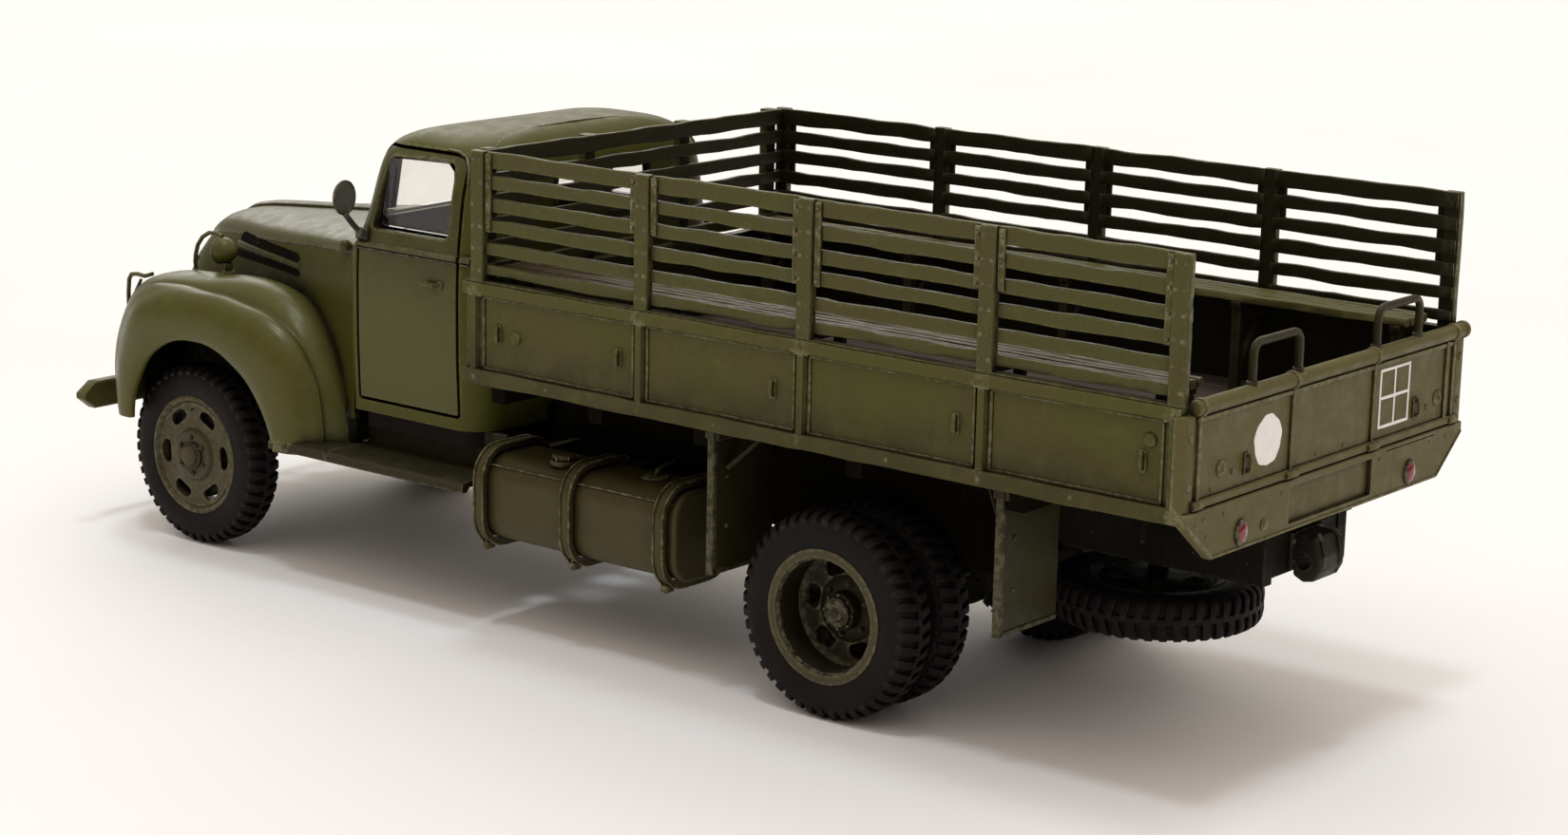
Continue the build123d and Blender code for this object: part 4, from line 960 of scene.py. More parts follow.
# =====================================================================  fenders
FENDER = {
    # x: the arc over the wheel at that distance from the centre line, from front foot to rear foot
    14.00: [(-60.0, 8.6), (-59.7, 10.4), (-59.1, 11.5), (-58.1, 13.0), (-56.6, 14.0), (-55.2, 14.5), (-53.75, 14.64), (-51.9, 14.5), (-50.0, 13.7), (-48.2, 12.5), (-47.3, 11.4), (-46.4, 9.9), (-45.9, 8.4)],
    13.20: [(-61.9, 8.4), (-62.1, 11.0), (-61.7, 13.4), (-60.9, 15.1), (-60.4, 16.1), (-58.4, 17.1), (-56.5, 17.6), (-54.6, 17.7), (-50.8, 17.5), (-49.0, 17.2), (-47.2, 16.6), (-45.4, 15.5), (-44.5, 14.2), (-43.9, 12.0), (-43.6, 8.8)],
    12.20: [(-63.2, 8.4), (-63.4, 12.5), (-62.4, 15.2), (-61.2, 16.8), (-59.6, 17.6), (-57.6, 17.8), (-53.8, 17.7), (-50.1, 17.4), (-46.4, 16.5), (-44.65, 15.3), (-43.3, 13.0), (-42.8, 10.5), (-42.7, 8.8)],
    10.50: [(-64.6, 8.4), (-64.7, 12.0), (-64.1, 14.6), (-62.8, 16.8), (-61.1, 17.7), (-59.1, 18.2), (-57.2, 18.4), (-54.8, 18.4), (-51.9, 18.7), (-49.2, 18.4), (-46.4, 17.4), (-44.65, 16.0), (-43.0, 14.0), (-41.9, 11.5), (-41.4, 8.8)],
}
POLE = (-53.0, 8.4)


def polar(curve, angle):
    """Distance from the pole to the curve at an angle measured from straight ahead (0) over the top to straight back (180)."""
    pts = []
    for y, z in curve:
        dy, dz = y - POLE[0], z - POLE[1]
        pts.append((math.degrees(math.atan2(dz, -dy)), math.hypot(dy, dz)))
    pts.sort()
    return between(pts, angle)[0]
ANGLES = [2.5 * k for k in range(73)]


def evened(curve, passes=5):
    """The curve's polar distances every 2.5 degrees, with the corners between measured points smoothed out."""
    r = [polar(curve, a) for a in ANGLES]
    for _ in range(passes):
        r = [r[0]] + [(r[i - 1] + 2 * r[i] + r[i + 1]) / 4 for i in range(1, len(r) - 1)] + [r[-1]]
    return r


LIP, CREST, GROOVE, CROWN = (evened(FENDER[x]) for x in (14.00, 13.20, 12.20, 10.50))


def ease(t):
    t = min(max(t, 0.0), 1.0)
    return t * t * (3 - 2 * t)


def fender_profile(i):
    """(x, r) points across the fender at one angle, from the lip over the two bands to the hood side."""
    lip, crest, groove, crown = LIP[i], CREST[i], GROOVE[i], CROWN[i]
    top = ease((ANGLES[i] - 18.0) / 40.0)
    side, step = crest - lip, groove - crest
    rise = crown - groove
    p = [(13.62, lip - 0.02), (13.92, lip - 0.05), (14.04, lip + 0.10), (14.06, lip + 0.22 * side), (14.03, lip + 0.42 * side), (13.93, lip + 0.62 * side),
         (13.74, lip + 0.80 * side), (13.50, lip + 0.93 * side), (13.20, crest), (12.88, crest + 0.42 * step + 0.06), (12.58, crest + 0.74 * step + 0.06),
         (12.36, groove - 0.02), (12.24, groove - 0.13), (12.13, groove - 0.10), (12.02, groove + 0.06), (11.80, groove + 0.34 * rise), (11.45, groove + 0.66 * rise),
         (11.0, groove + 0.89 * rise), (10.5, crown)]
    for x, up, down in ((9.8, 0.16, 0.0), (9.1, 0.28, -0.16), (8.4, 0.38, -0.52), (7.8, 0.45, -1.05), (7.3, 0.50, -1.8), (6.9, 0.54, -2.6), (6.5, 0.57, -3.5)):
        p.append((x, crown + up + (down - up) * top))
    return p


for side, name in ((1, "left"), (-1, "right")):
    shell = Solid()
    rings = []
    for i, a in enumerate(ANGLES):
        outer = fender_profile(i)
        n = len(outer)
        inner = []
        for k, (x, r) in enumerate(outer):
            p, q = outer[max(k - 1, 0)], outer[min(k + 1, n - 1)]
            tx, tr = q[0] - p[0], q[1] - p[1]
            size = math.hypot(tx, tr)
            # the normal that points into the wheel arch
            inner.append((x + (tr / size) * -0.42 if k > 1 else x - 0.05, r + (tx / size) * 0.42 if k > 1 else r + 0.30))
        ca, sa = math.cos(math.radians(a)), math.sin(math.radians(a))
        rings.append([(side * x, POLE[0] - r * ca, POLE[1] + r * sa) for x, r in outer + list(reversed(inner))])
    shell.rings(rings)
    piece("fender_skin_" + name, shell, "cab", stands_for=("fender_" + name,), angle=60)
    # apron between the fender's foot and the hood side
    apron = Solid()
    apron.box(*sorted((side * 7.2, side * 11.1)), -43.0, -41.0, 9.3, 11.6, c=0.08)
    apron.box(*sorted((side * 6.9, side * 10.6)), -62.75, -62.5, 8.6, 14.6, c=0.05)
    # inner wall of the wheel house
    apron.prism([(-63.4, 8.6), (-63.2, 13.0), (-62.0, 15.6), (-60.4, 16.9), (-58.0, 17.6), (-52.0, 17.8), (-48.0, 17.0), (-45.6, 15.2), (-44.0, 12.8), (-43.0, 10.0), (-42.9, 8.9), (-49.0, 8.9), (-50.0, 7.4), (-61.0, 7.4), (-61.5, 8.6)],
                "yz", side * 6.95, side * 7.10)
    piece("fender_apron_" + name, apron, "chassis", angle=40)
    # filler plate between the nose and the fender's front
    filler = Solid()
    filler.box(*sorted((side * 5.0, side * 7.2)), -63.6, -63.3, 8.6, 13.8, c=0.08)
    piece("front_filler_" + name, filler, "nose", angle=40)

boards = Solid()
for side in (-1, 1):
    # tread plate with rolled outer edge, rising a little to the fender
    section = [(14.05, 8.55), (14.05, 9.0), (13.9, 9.16), (13.4, 9.22), (10.3, 9.22), (10.1, 9.35), (10.05, 11.6), (9.75, 11.6), (9.75, 9.1), (10.0, 8.85), (13.4, 8.85), (13.65, 8.55)]
    boards.rings([[(side * x, -40.85 + 12.35 * k / 10, z) for x, z in section] for k in range(11)])
    # the same plate carried forward under the fender's foot
    toe = [(14.05, 8.55), (14.05, 9.0), (13.9, 9.16), (13.4, 9.22), (10.3, 9.22), (10.3, 8.85), (13.4, 8.85), (13.65, 8.55)]
    boards.rings([[(side * x, -46.2 + 5.3 * k / 6, z) for x, z in toe] for k in range(7)])
piece("running_board_plates", boards, "step", stands_for=("running_boards",), angle=40)

bumper = Solid()
rings = []
for k in range(29):
    x = -13.0 + 26.0 * k / 28
    t = abs(x) / 13.0
    h = 0.95 * (1.0 if t < 0.93 else math.sqrt(max(1 - ((t - 0.93) / 0.07) ** 2, 0.05)))
    bow = 0.0
    y = -66.75 + bow
    rings.append([(x, y + 0.66, 8.75 - h), (x, y - 0.02, 8.75 - h), (x, y - 0.16, 8.75 - h * 0.85), (x, y - 0.16, 8.75 + h * 0.85), (x, y - 0.02, 8.75 + h), (x, y + 0.66, 8.75 + h),
                  (x, y + 0.76, 8.75 + h * 0.88), (x, y + 0.76, 8.75 - h * 0.88)])
bumper.rings(rings)
for x in (-4.05, 4.05):
    bumper.dome((x, -66.9, 9.1), (0, -1, 0), 0.24, 0.10)
    bumper.dome((x, -66.9, 8.4), (0, -1, 0), 0.24, 0.10)
piece("bumper_beam", bumper, "olive", stands_for=("front_bumper",), angle=40)

# =====================================================================  lamps, guards, mirror
lamps = Solid()
rims = Solid()
lamp_faces = Solid()
guards = Solid()
for side in (-1, 1):
    x, y, z = side * 8.5, -56.1, 19.75
    size = 0.80
    profile = [(-0.78, 0.98), (-0.70, 1.10), (-0.45, 1.14), (-0.1, 1.08), (0.35, 0.86), (0.72, 0.52), (0.92, 0.2), (0.95, 0.02), (0.80, 0.02), (0.5, 0.3), (-0.3, 0.85), (-0.6, 0.95)]
    lamps.revolve([(a * size, r * size) for a, r in profile], (x, y, z), (0, 1, 0), 40)
    rims.revolve([(a * size, r * size) for a, r in [(-0.92, 1.00), (-0.95, 1.12), (-0.86, 1.19), (-0.68, 1.19), (-0.62, 1.12), (-0.64, 1.0)]], (x, y, z), (0, 1, 0), 40)
    lamp_faces.revolve([(a * size, r * size) for a, r in [(-0.95, 0.02), (-0.93, 0.4), (-0.86, 0.8), (-0.78, 1.02), (-0.62, 1.02), (-0.62, 0.02)]], (x, y, z), (0, 1, 0), 40)
    lamps.tube([(x, y + 0.1, z - 0.8), (x, y + 0.1, z - 1.2), (x - side * 0.05, y + 0.12, z - 1.5)], 0.28, 10)
    lamps.dome((x - side * 0.05, y + 0.12, 18.25), (0, 0, 1), 0.5, 0.25, 16)
    # wire hoop standing ahead of the lamp
    hoop = [(x, -56.6, 20.70), (x, -57.2, 20.84), (x, -57.9, 20.80), (x, -58.6, 20.42), (x, -59.1, 19.80), (x, -59.33, 19.1), (x, -59.38, 18.6), (x, -59.3, 18.1)]
    guards.tube(hoop, 0.15, 8)
    # marker guard standing on the fender's front
    gx = side * 10.6
    guards.tube([(gx, -63.95, 15.0), (gx, -63.95, 16.2), (gx, -63.85, 17.1), (gx, -63.6, 17.45), (gx, -63.0, 17.55), (gx, -62.2, 17.50), (gx, -61.4, 17.75)], 0.15, 8)
    guards.tube([(gx, -63.7, 15.1), (gx, -63.15, 16.35), (gx, -62.6, 17.2)], 0.12, 7)
piece("lamp_bodies", lamps, "cab", stands_for=("headlights",), angle=50)
piece("lamp_rims", rims, "cab", angle=50)
piece("lamp_lenses", lamp_faces, "lamp", angle=50)
piece("lamp_guard_wires", guards, "olive", stands_for=("lamp_guards",), angle=60)

mirror = Solid()
mirror_face = Solid()
c = Vector((12.4, -40.6, 25.65))
normal = Vector((0.12, 1.0, -0.05)).normalized()
profile = [(-0.32, 0.02), (-0.30, 0.55), (-0.18, 0.86), (0.0, 0.97), (0.13, 0.97), (0.15, 0.90), (0.02, 0.84), (0.02, 0.02)]


def squash_x(solid, centre, fx, fz):
    solid.v = [(centre[0] + (p[0] - centre[0]) * fx, p[1], centre[2] + (p[2] - centre[2]) * fz) for p in solid.v]


mirror.revolve(profile, c, normal, 32)
squash_x(mirror, c, 0.88, 1.18)
mirror.dome(c - normal * 0.28, -normal, 0.3, 0.2)
mirror.tube([(12.35, -40.75, 25.1), (12.28, -40.65, 24.6), (12.1, -40.3, 24.1), (11.8, -39.9, 23.5), (11.7, -39.7, 23.3)], 0.19, 8)
mirror.box(11.3, 11.85, -40.25, -39.15, 22.95, 23.72, c=0.14)
mirror_face.revolve([(0.03, 0.02), (0.03, 0.86), (0.06, 0.86), (0.06, 0.02)], c, normal, 32)
squash_x(mirror_face, c, 0.88, 1.18)
piece("mirror_body", mirror, "iron", stands_for=("door_mirror",), angle=50)
piece("mirror_glass", mirror_face, "mirror", angle=50)

# =====================================================================  wheels
TREAD = [(-1.02, 3.70), (-1.12, 3.86), (-1.20, 4.04), (-1.26, 4.30), (-1.31, 4.70), (-1.31, 5.05), (-1.26, 5.36), (-1.14, 5.66), (-0.90, 5.84), (-0.45, 5.92), (0.0, 5.94)]
TREAD = TREAD + [(-a, r) for a, r in reversed(TREAD[:-1])] + [(0.95, 3.52), (-0.95, 3.52)]
LUGS = 44


def tyre(cx, cy, cz, axis=(1, 0, 0), turn=0.0):
    s = Solid()
    s.revolve(TREAD, (cx, cy, cz), axis, 96)
    d = Vector(axis)
    side = d.orthogonal().normalized()
    up = d.cross(side)
    c = Vector((cx, cy, cz))

    def place(a, r, t):
        return c + d * a + (side * math.cos(t) + up * math.sin(t)) * r

    step = 2 * math.pi / LUGS
    for hand in (-1, 1):
        for k in range(LUGS):
            t0 = turn + step * (k + (0.5 if hand > 0 else 0.0))
            # stations from the middle of the tread out over the shoulder: axial place, base radius, top radius, half width
            rings = []
            for a, low, high, half, lean in ((0.06, 5.8, 6.17, 0.030, 0.0), (0.45, 5.8, 6.18, 0.037, 0.010), (0.85, 5.7, 6.12, 0.042, 0.022),
                                              (1.08, 5.5, 5.98, 0.042, 0.030), (1.24, 5.3, 5.72, 0.038, 0.033)):
                aa, m = hand * a, t0 + lean
                inner = 0.5 if a > 1.2 else 0.0
                rings.append([place(aa * (0.9 if inner else 1.0), low, m - half), place(aa, high - 0.03, m - half), place(aa, high, m - half * 0.78), place(aa, high, m + half * 0.78),
                              place(aa, high - 0.03, m + half), place(aa * (0.9 if inner else 1.0), low, m + half)])
            s.rings(rings)
    # centre rib, nicked between the lugs
    s.revolve([(-0.17, 5.85), (-0.17, 6.12), (-0.1, 6.16), (0.1, 6.16), (0.17, 6.12), (0.17, 5.85)], (cx, cy, cz), axis, 96)
    return s


def hand_holes(count, radius, a0, a1, centre, axis, long, wide, phase=0.0):
    """Rounded slots round the disc, as one cutter."""
    d = Vector(axis)
    side = d.orthogonal().normalized()
    up = d.cross(side)
    c = Vector(centre)
    s = Solid()
    for k in range(count):
        t = phase + 2 * math.pi * k / count
        u = side * math.cos(t) + up * math.sin(t)
        w = -side * math.sin(t) + up * math.cos(t)
        m = c + u * radius
        rings = []
        for a in (a0, a1):
            ring = []
            for j in range(20):
                q = 2 * math.pi * j / 20
                ex = math.copysign(abs(math.cos(q)) ** 0.75, math.cos(q)) * long
                ey = math.copysign(abs(math.sin(q)) ** 0.75, math.sin(q)) * wide
                bend = -(ex * ex) / (2 * radius)
                ring.append(m + d * a + w * ex + u * (ey + bend))
            rings.append(ring)
        s.rings(rings)
    return s


def wheel(centre, out, front, phase):
    """Rim, disc, hub and nuts of one wheel. out is +1 or -1, the side that faces away from the truck."""
    axis = (out, 0, 0)
    rim = Solid()
    back = [(0.98, 3.60), (-0.98, 3.60), (-1.03, 3.98), (-1.10, 4.08), (-1.22, 4.07), (-1.27, 3.98), (-1.22, 3.86), (-1.02, 3.42), (-0.6, 3.28)]
    if front:
        lip = [(1.10, 3.72), (1.22, 3.78), (1.28, 3.86), (1.27, 3.98), (1.20, 4.06), (1.08, 4.06), (1.03, 3.98)]
        rim.revolve(lip + back + [(0.62, 3.28), (0.86, 3.40)], centre, axis, 72)
    else:
        rim.revolve([(1.20, 3.44), (1.27, 3.48), (1.29, 3.60), (1.29, 3.86), (1.24, 4.00), (1.10, 4.06), (1.03, 3.98), (1.00, 3.50)], centre, axis, 72)
    disc = Solid()
    if front:
        profile = [(0.98, 3.66), (1.06, 3.60), (1.08, 3.44), (1.06, 3.1), (1.03, 2.6), (1.03, 2.05), (1.07, 1.82), (1.26, 1.70), (1.34, 1.56), (1.34, 1.30), (1.24, 0.9), (1.16, 0.2),
                   (0.9, 0.2), (0.9, 1.6), (0.84, 2.2), (0.86, 3.0), (0.86, 3.5)]
        radius, long, wide, a0, a1 = 2.90, 0.80, 0.43, 0.4, 1.6
    else:
        profile = [(-0.80, 3.36), (-0.97, 3.18), (-1.05, 2.9), (-1.11, 2.4), (-1.17, 2.0), (-1.07, 1.85), (-1.0, 1.5), (-1.0, 0.2), (-1.3, 0.2), (-1.35, 1.9), (-1.3, 2.6), (-1.2, 3.1), (-1.0, 3.34)]
        radius, long, wide, a0, a1 = 2.55, 0.74, 0.50, -1.8, -0.3
    disc.revolve(profile, centre, axis, 72)
    mesh = carved(disc.mesh("disc"), [cutter(hand_holes(6, radius, a0, a1, centre, axis, long, wide, phase))])
    hub = Solid()
    c, d = Vector(centre), Vector(axis)
    side = d.orthogonal().normalized()
    up = d.cross(side)
    if front:
        hub.revolve([(1.1, 0.90), (1.38, 0.86), (1.46, 0.76), (1.66, 0.70), (1.80, 0.60), (1.88, 0.42), (1.90, 0.02), (1.0, 0.02)], centre, axis, 36)
        nuts, base = 1.24, 1.32
    else:
        hub.revolve([(-1.05, 1.18), (-0.60, 1.12), (-0.34, 1.06), (-0.28, 0.92), (-0.06, 0.88), (-0.02, 0.78), (-0.02, 0.56), (0.05, 0.50), (0.09, 0.25), (0.10, 0.02), (-1.05, 0.02)], centre, axis, 36)
        for k in range(8):
            t = 2 * math.pi * k / 8
            u = side * math.cos(t) + up * math.sin(t)
            hub.cyl(c + d * -0.36 + u * 0.99, c + d * -0.18 + u * 0.99, 0.11, 6, c=0.02)
        nuts, base = 1.52, -1.02
    for k in range(6):
        t = phase + math.pi / 6 + 2 * math.pi * k / 6
        u = side * math.cos(t) + up * math.sin(t)
        hub.cyl(c + d * (base - 0.05) + u * nuts, c + d * (base + 0.17) + u * nuts, 0.17, 6, c=0.03)
        hub.cyl(c + d * base + u * nuts, c + d * (base + 0.27) + u * nuts, 0.08, 8, c=0.02)
    # valve stem
    t = phase + math.pi / 6
    u = side * math.cos(t) + up * math.sin(t)
    hub.tube([c + d * (0.9 if front else -0.9) + u * 3.3, c + d * (1.15 if front else -0.4) + u * 3.1, c + d * (1.25 if front else -0.1) + u * 3.05], 0.07, 6)
    drum = Solid()
    if not front:
        # the deep barrel behind the flat ring
        drum.revolve([(1.16, 3.46), (1.16, 3.54), (0.98, 3.60)] + back + [(0.62, 3.26), (1.10, 3.36)], centre, axis, 72)
    if front:
        drum.cyl(c + d * -0.75, c + d * 0.55, 3.0, 40, c=0.15)
    return rim, mesh, hub, drum


for name, out, front, cy in (("front_left", 1, True, FRONT_Y), ("front_right", -1, True, FRONT_Y), ("rear_left", 1, False, 0.0), ("rear_right", -1, False, 0.0)):
    body = "wheel_" + name
    places = [out * 11.0] if front else [out * 12.7, out * 8.9]
    for i, cx in enumerate(places):
        tag = name + ("" if i == 0 else "_inner")
        piece("tyre_rubber_" + tag, tyre(cx, cy, HUB, turn=0.05 + 0.31 * i + (0.7 if front else 0.2)), "rubber", body=body, stands_for=("tyre_" + name,) if i == 0 else (), angle=32)
        face = out if (front or i == 0) else -out
        rim, disc, hub, drum = wheel((cx, cy, HUB), face, front, 0.32 if front else 0.12)
        piece("rim_" + tag, rim, "wheel", body=body, stands_for=("disc_" + name,) if i == 0 else (), angle=40)
        if front or i == 0:
            piece("disc_skin_" + tag, disc, "wheel" if front else "dish", body=body, angle=34)
            piece("hub_" + tag, hub, "wheel" if front else "dish", body=body, angle=34)
            piece("drum_" + tag, drum, "black" if front else "dish", body=body, angle=34)
        else:
            plain = Solid()
            plain.revolve([(-0.5, 3.34), (-0.62, 3.0), (-0.66, 0.8), (-0.95, 0.8), (-0.92, 3.1), (-0.7, 3.34)], (cx, cy, HUB), (face, 0, 0), 48)
            piece("disc_skin_" + tag, plain, "dish", body=body, angle=34)
            piece("drum_" + tag, drum, "dish", body=body, angle=34)

piece("spare_tyre", tyre(0.0, 13.67, 7.39, axis=(0, 0, 1), turn=0.1), "rubber", stands_for=("spare_wheel",), angle=32)
rim, disc, hub, drum = wheel((0, 0, 0), 1, False, 0.3)
turn = Matrix(((0, 0, 1), (0, 1, 0), (-1, 0, 0)))     # x to -z: the dish looks down
for tag, thing in (("rim", rim), ("hub", hub), ("drum", drum)):
    thing.v = [tuple(turn @ Vector(p) + Vector((0, 13.67, 7.39))) for p in thing.v]
    piece("spare_" + tag, thing, "chassis", angle=36)
origin = at(0, 0, 0)
disc.transform(Matrix.Translation(at(0, 13.67, 7.39)) @ turn.to_4x4() @ Matrix.Translation(-origin))
piece("spare_disc", disc, "chassis", angle=34)

# =====================================================================  cargo bed
POSTS = (-26.4, -13.2, -1.1, 11.35, 23.45)
BOARDS = ((29.42, 30.40), (28.15, 28.95), (26.80, 27.60), (25.45, 26.25), (24.10, 24.85), (22.80, 23.45))
FRONT, REAR = -27.3, 23.95

for side, name in ((1, "left"), (-1, "right")):
    def sx(a, b):
        return sorted((side * a, side * b))

    panel = Solid()
    # thin sheet, let in behind the rails and posts
    panel.plank("y", FRONT, REAR, *sx(14.42, 14.86), 16.6, 22.0, steps=40, amp=0.015, seed=side + 1)
    # bottom rail with a small flange, top rail
    panel.plank("y", FRONT - 0.05, REAR, *sx(14.5, 15.28), 16.12, 17.02, steps=60, amp=0.035, c=0.09, seed=side + 2)
    panel.plank("y", FRONT - 0.05, REAR, *sx(14.45, 15.20), 21.62, 22.38, steps=60, amp=0.03, c=0.09, seed=side + 3)
    panel.plank("y", FRONT, REAR, *sx(14.3, 15.0), 22.3, 22.48, steps=40, amp=0.02, c=0.03, seed=side + 4)
    for i, y in enumerate(POSTS):
        # pressed rib over the sheet, flared at top and foot
        w = 0.30
        x0 = 14.7
        ys = y if 0 < i < 4 else (y - 0.15 if i == 0 else y + 0.05)
        panel.rings([[(side * x0, ys - w - 0.12, z), (side * (x0 + 0.30), ys - w, z), (side * (x0 + 0.46), ys - w * 0.7, z), (side * (x0 + 0.46), ys + w * 0.7, z), (side * (x0 + 0.30), ys + w, z), (side * x0, ys + w + 0.12, z)]
                     for z in (16.9, 18.0, 19.5, 21.0, 21.75)])
    # pressed border round each bay
    bays = [(-26.0, -13.6), (-12.8, -1.5), (-0.7, 10.95), (11.75, 22.95)]
    for y0, y1 in bays:
        for z in (17.12, 21.52):
            panel.box(*sx(14.8, 14.95), y0 + 0.1, y1 - 0.1, z - 0.10, z + 0.10, c=0.05)
        for y in (y0 + 0.16, y1 - 0.16):
            panel.box(*sx(14.8, 14.95), y - 0.10, y + 0.10, 17.1, 21.5, c=0.05)
    piece("side_panel_" + name, panel, "panel_" + name, stands_for=("bed_side_" + name,), angle=40)

    small = Solid()
    # rope staples, latch knobs and bolt heads on the lower panel
    for y, z in ((-24.6, 19.35), (-14.9, 19.3), (-1.9 - 1.3, 19.3), (9.6, 19.3), (21.6, 19.2)):
        small.tube([(side * 14.8, y, z + 0.42), (side * 15.06, y, z + 0.42), (side * 15.13, y, z + 0.3), (side * 15.13, y, z - 0.3), (side * 15.06, y, z - 0.42), (side * 14.8, y, z - 0.42)], 0.13, 7)
        small.box(*sx(14.8, 14.93), y - 0.22, y + 0.22, z - 0.62, z + 0.62, c=0.04)
    for y, z in ((-23.2, 19.3), (22.0, 20.4)):
        small.dome((side * 14.84, y, z), (side, 0, 0), 0.42, 0.26, 16)
    for i, y in enumerate(POSTS):
        for z in (16.55, 21.98):
            small.dome((side * 15.16, y, z), (side, 0, 0), 0.17, 0.11, 10)
    for y in (-20.4, -7.3, 5.2, 17.4):
        small.dome((side * 15.2, y, 16.58), (side, 0, 0), 0.13, 0.09, 8)
    piece("side_fittings_" + name, small, "olive", angle=50)

    rack = Solid()
    for i, y in enumerate(POSTS):
        w = 0.52 if i not in (0, 4) else 0.5
        outer = 15.02
        rack.plank("z", 21.7, 30.42, *sx(14.42, outer), y - w, y + w, steps=14, amp=0.02, c=0.07, seed=i + 10 * side)
    for j, (z0, z1) in enumerate(BOARDS):
        for k in range(4):
            a, b = POSTS[k] + (0.35 if k else -0.45), POSTS[k + 1] - 0.35 + (0.75 if k == 3 else 0)
            dz = 0.05 * noise.noise((j * 3.1, k * 5.7, side * 2.0))
            rack.plank("y", a, b, *sx(14.30, 14.68), z0 + dz, z1 + dz, steps=14, amp=0.055, c=0.05, seed=j * 5 + k + 20 * side)
    piece("rack_boards_" + name, rack, "board_" + name, stands_for=("rack_" + name,), angle=45)

    straps = Solid()
    # wear strips beside each post and their rivets
    for i, y in enumerate(POSTS):
        for off in ((-0.78, 0.78) if 0 < i < 4 else ((0.78,) if i == 0 else (-0.78,))):
            straps.box(*sx(14.62, 14.84), y + off - 0.22, y + off + 0.22, 26.9 if i % 2 else 25.5, 30.3, c=0.05)
            for z0, z1 in BOARDS[:3 if i % 2 else 4]:
                straps.dome((side * 14.82, y + off, (z0 + z1) / 2), (side, 0, 0), 0.15, 0.10, 9)
        for z0, z1 in BOARDS:
            for off in (-0.26, 0.26):
                straps.dome((side * 14.99, y + off, (z0 + z1) / 2), (side, 0, 0), 0.11, 0.07, 7)
    # stake pockets on the lower panel
    for y in POSTS:
        straps.box(*sx(14.9, 15.18), y - 0.56, y + 0.56, 21.55, 22.0, c=0.05)
    piece("rack_straps_" + name, straps, "board_" + name, angle=45)

    bench = Solid()
    for k, x in enumerate((11.35, 12.05, 12.75, 13.45)):
        bench.plank("y", -25.9, 22.7, *sx(x - 0.28, x + 0.28), 22.78, 23.28, steps=50, amp=0.03, c=0.06, seed=40 + k + side)
    piece("bench_slats_" + name, bench, "bench" if side < 0 else "bench_near", stands_for=("bench_" + name,), angle=45)
    legs = Solid()
    for y in (-25.0, -13.2, -1.1, 11.35, 22.0):
        legs.box(*sx(11.05, 14.1), y - 0.35, y + 0.35, 22.3, 22.8, c=0.06)
        legs.box(*sx(11.2, 11.75), y - 0.32, y + 0.32, 17.25, 22.35, c=0.06)
        legs.tube([(side * 11.6, y, 18.6), (side * 14.1, y, 21.6)], 0.22, 8)
    piece("bench_legs_" + name, legs, "leg", angle=45)

floor = Solid()
for k in range(12):
    x0 = -14.3 + 28.6 * k / 12
    floor.plank("y", -27.1, 23.5, x0 + 0.03, x0 + 28.6 / 12 - 0.03, 16.4, 17.28, steps=40, amp=0.02, c=0.05, seed=60 + k)
piece("bed_planks", floor, "deck", stands_for=("bed_floor",), angle=45)
iron = Solid()
for y in (-20.0, -8.0, 4.0, 16.0):
    for k in range(12):
        iron.dome((-14.3 + 28.6 * (k + 0.5) / 12, y, 17.27), (0, 0, 1), 0.13, 0.05, 8)
piece("plank_bolts", iron, "deck", angle=50)

front = Solid()
front.plank("x", -14.35, 14.35, FRONT + 0.1, FRONT + 0.6, 17.2, 22.0, steps=30, amp=0.02, seed=81)
front.plank("x", -14.5, 14.5, FRONT, FRONT + 0.8, 21.6, 22.4, steps=30, amp=0.03, c=0.08, seed=82)
front.plank("x", -14.5, 14.5, FRONT, FRONT + 0.8, 16.2, 17.1, steps=30, amp=0.03, c=0.08, seed=83)
for x in (-13.4, -9.0, -4.6, 0.0, 4.6, 9.0, 13.4):
    front.box(x - 0.3, x + 0.3, FRONT - 0.05, FRONT + 0.3, 17.0, 21.8, c=0.08)
piece("front_wall", front, "front_wall", stands_for=("bed_front",), angle=45)
front = Solid()
for i, x in enumerate((-13.5, -4.6, 4.6, 13.5)):
    front.plank("z", 21.7, 30.42, x - 0.45, x + 0.45, -27.2, -26.5, steps=12, amp=0.02, c=0.06, seed=90 + i)
for j, (z0, z1) in enumerate(BOARDS):
    front.plank("x", -14.2, 14.2, -26.5, -26.12, z0, z1, steps=34, amp=0.05, c=0.05, seed=100 + j)
piece("front_rack", front, "board", stands_for=("rack_front",), angle=45)

# =====================================================================  tailgate and rear end
TY = 24.34                # outer face of the tailgate sheet
gate = Solid()
for x0, x1 in ((-14.25, -4.56), (-4.44, 4.44), (4.56, 14.25)):
    gate.box(x0, x1, TY - 0.42, TY, 17.35, 21.95, c=0.06)
gate.box(-14.3, 14.3, TY - 0.42, TY + 0.22, 16.92, 17.42, c=0.09)
gate.box(-14.3, 14.3, TY - 0.5, TY - 0.2, 17.0, 22.0, c=0.03)
for x in (-14.0, -13.15, 14.0, 4.5, -4.5):
    w = 0.16 if abs(x) > 5 else 0.10
    gate.box(x - w, x + w, TY - 0.1, TY + 0.16, 17.3, 21.95, c=0.06)
gate.box(-14.2, 14.2, TY - 0.1, TY + 0.12, 21.55, 21.85, c=0.05)
piece("tailgate_sheet", gate, "tail", stands_for=("tailgate",), angle=40)
gate = Solid()
gate.cyl((-15.3, TY - 0.02, 22.35), (14.42, TY - 0.02, 22.35), 0.44, 20, c=0.08)
for x in (-15.05, -13.9, -4.5, 4.5, 13.9):
    gate.cyl((x - 0.16, TY - 0.02, 22.35), (x + 0.16, TY - 0.02, 22.35), 0.52, 20, c=0.05)
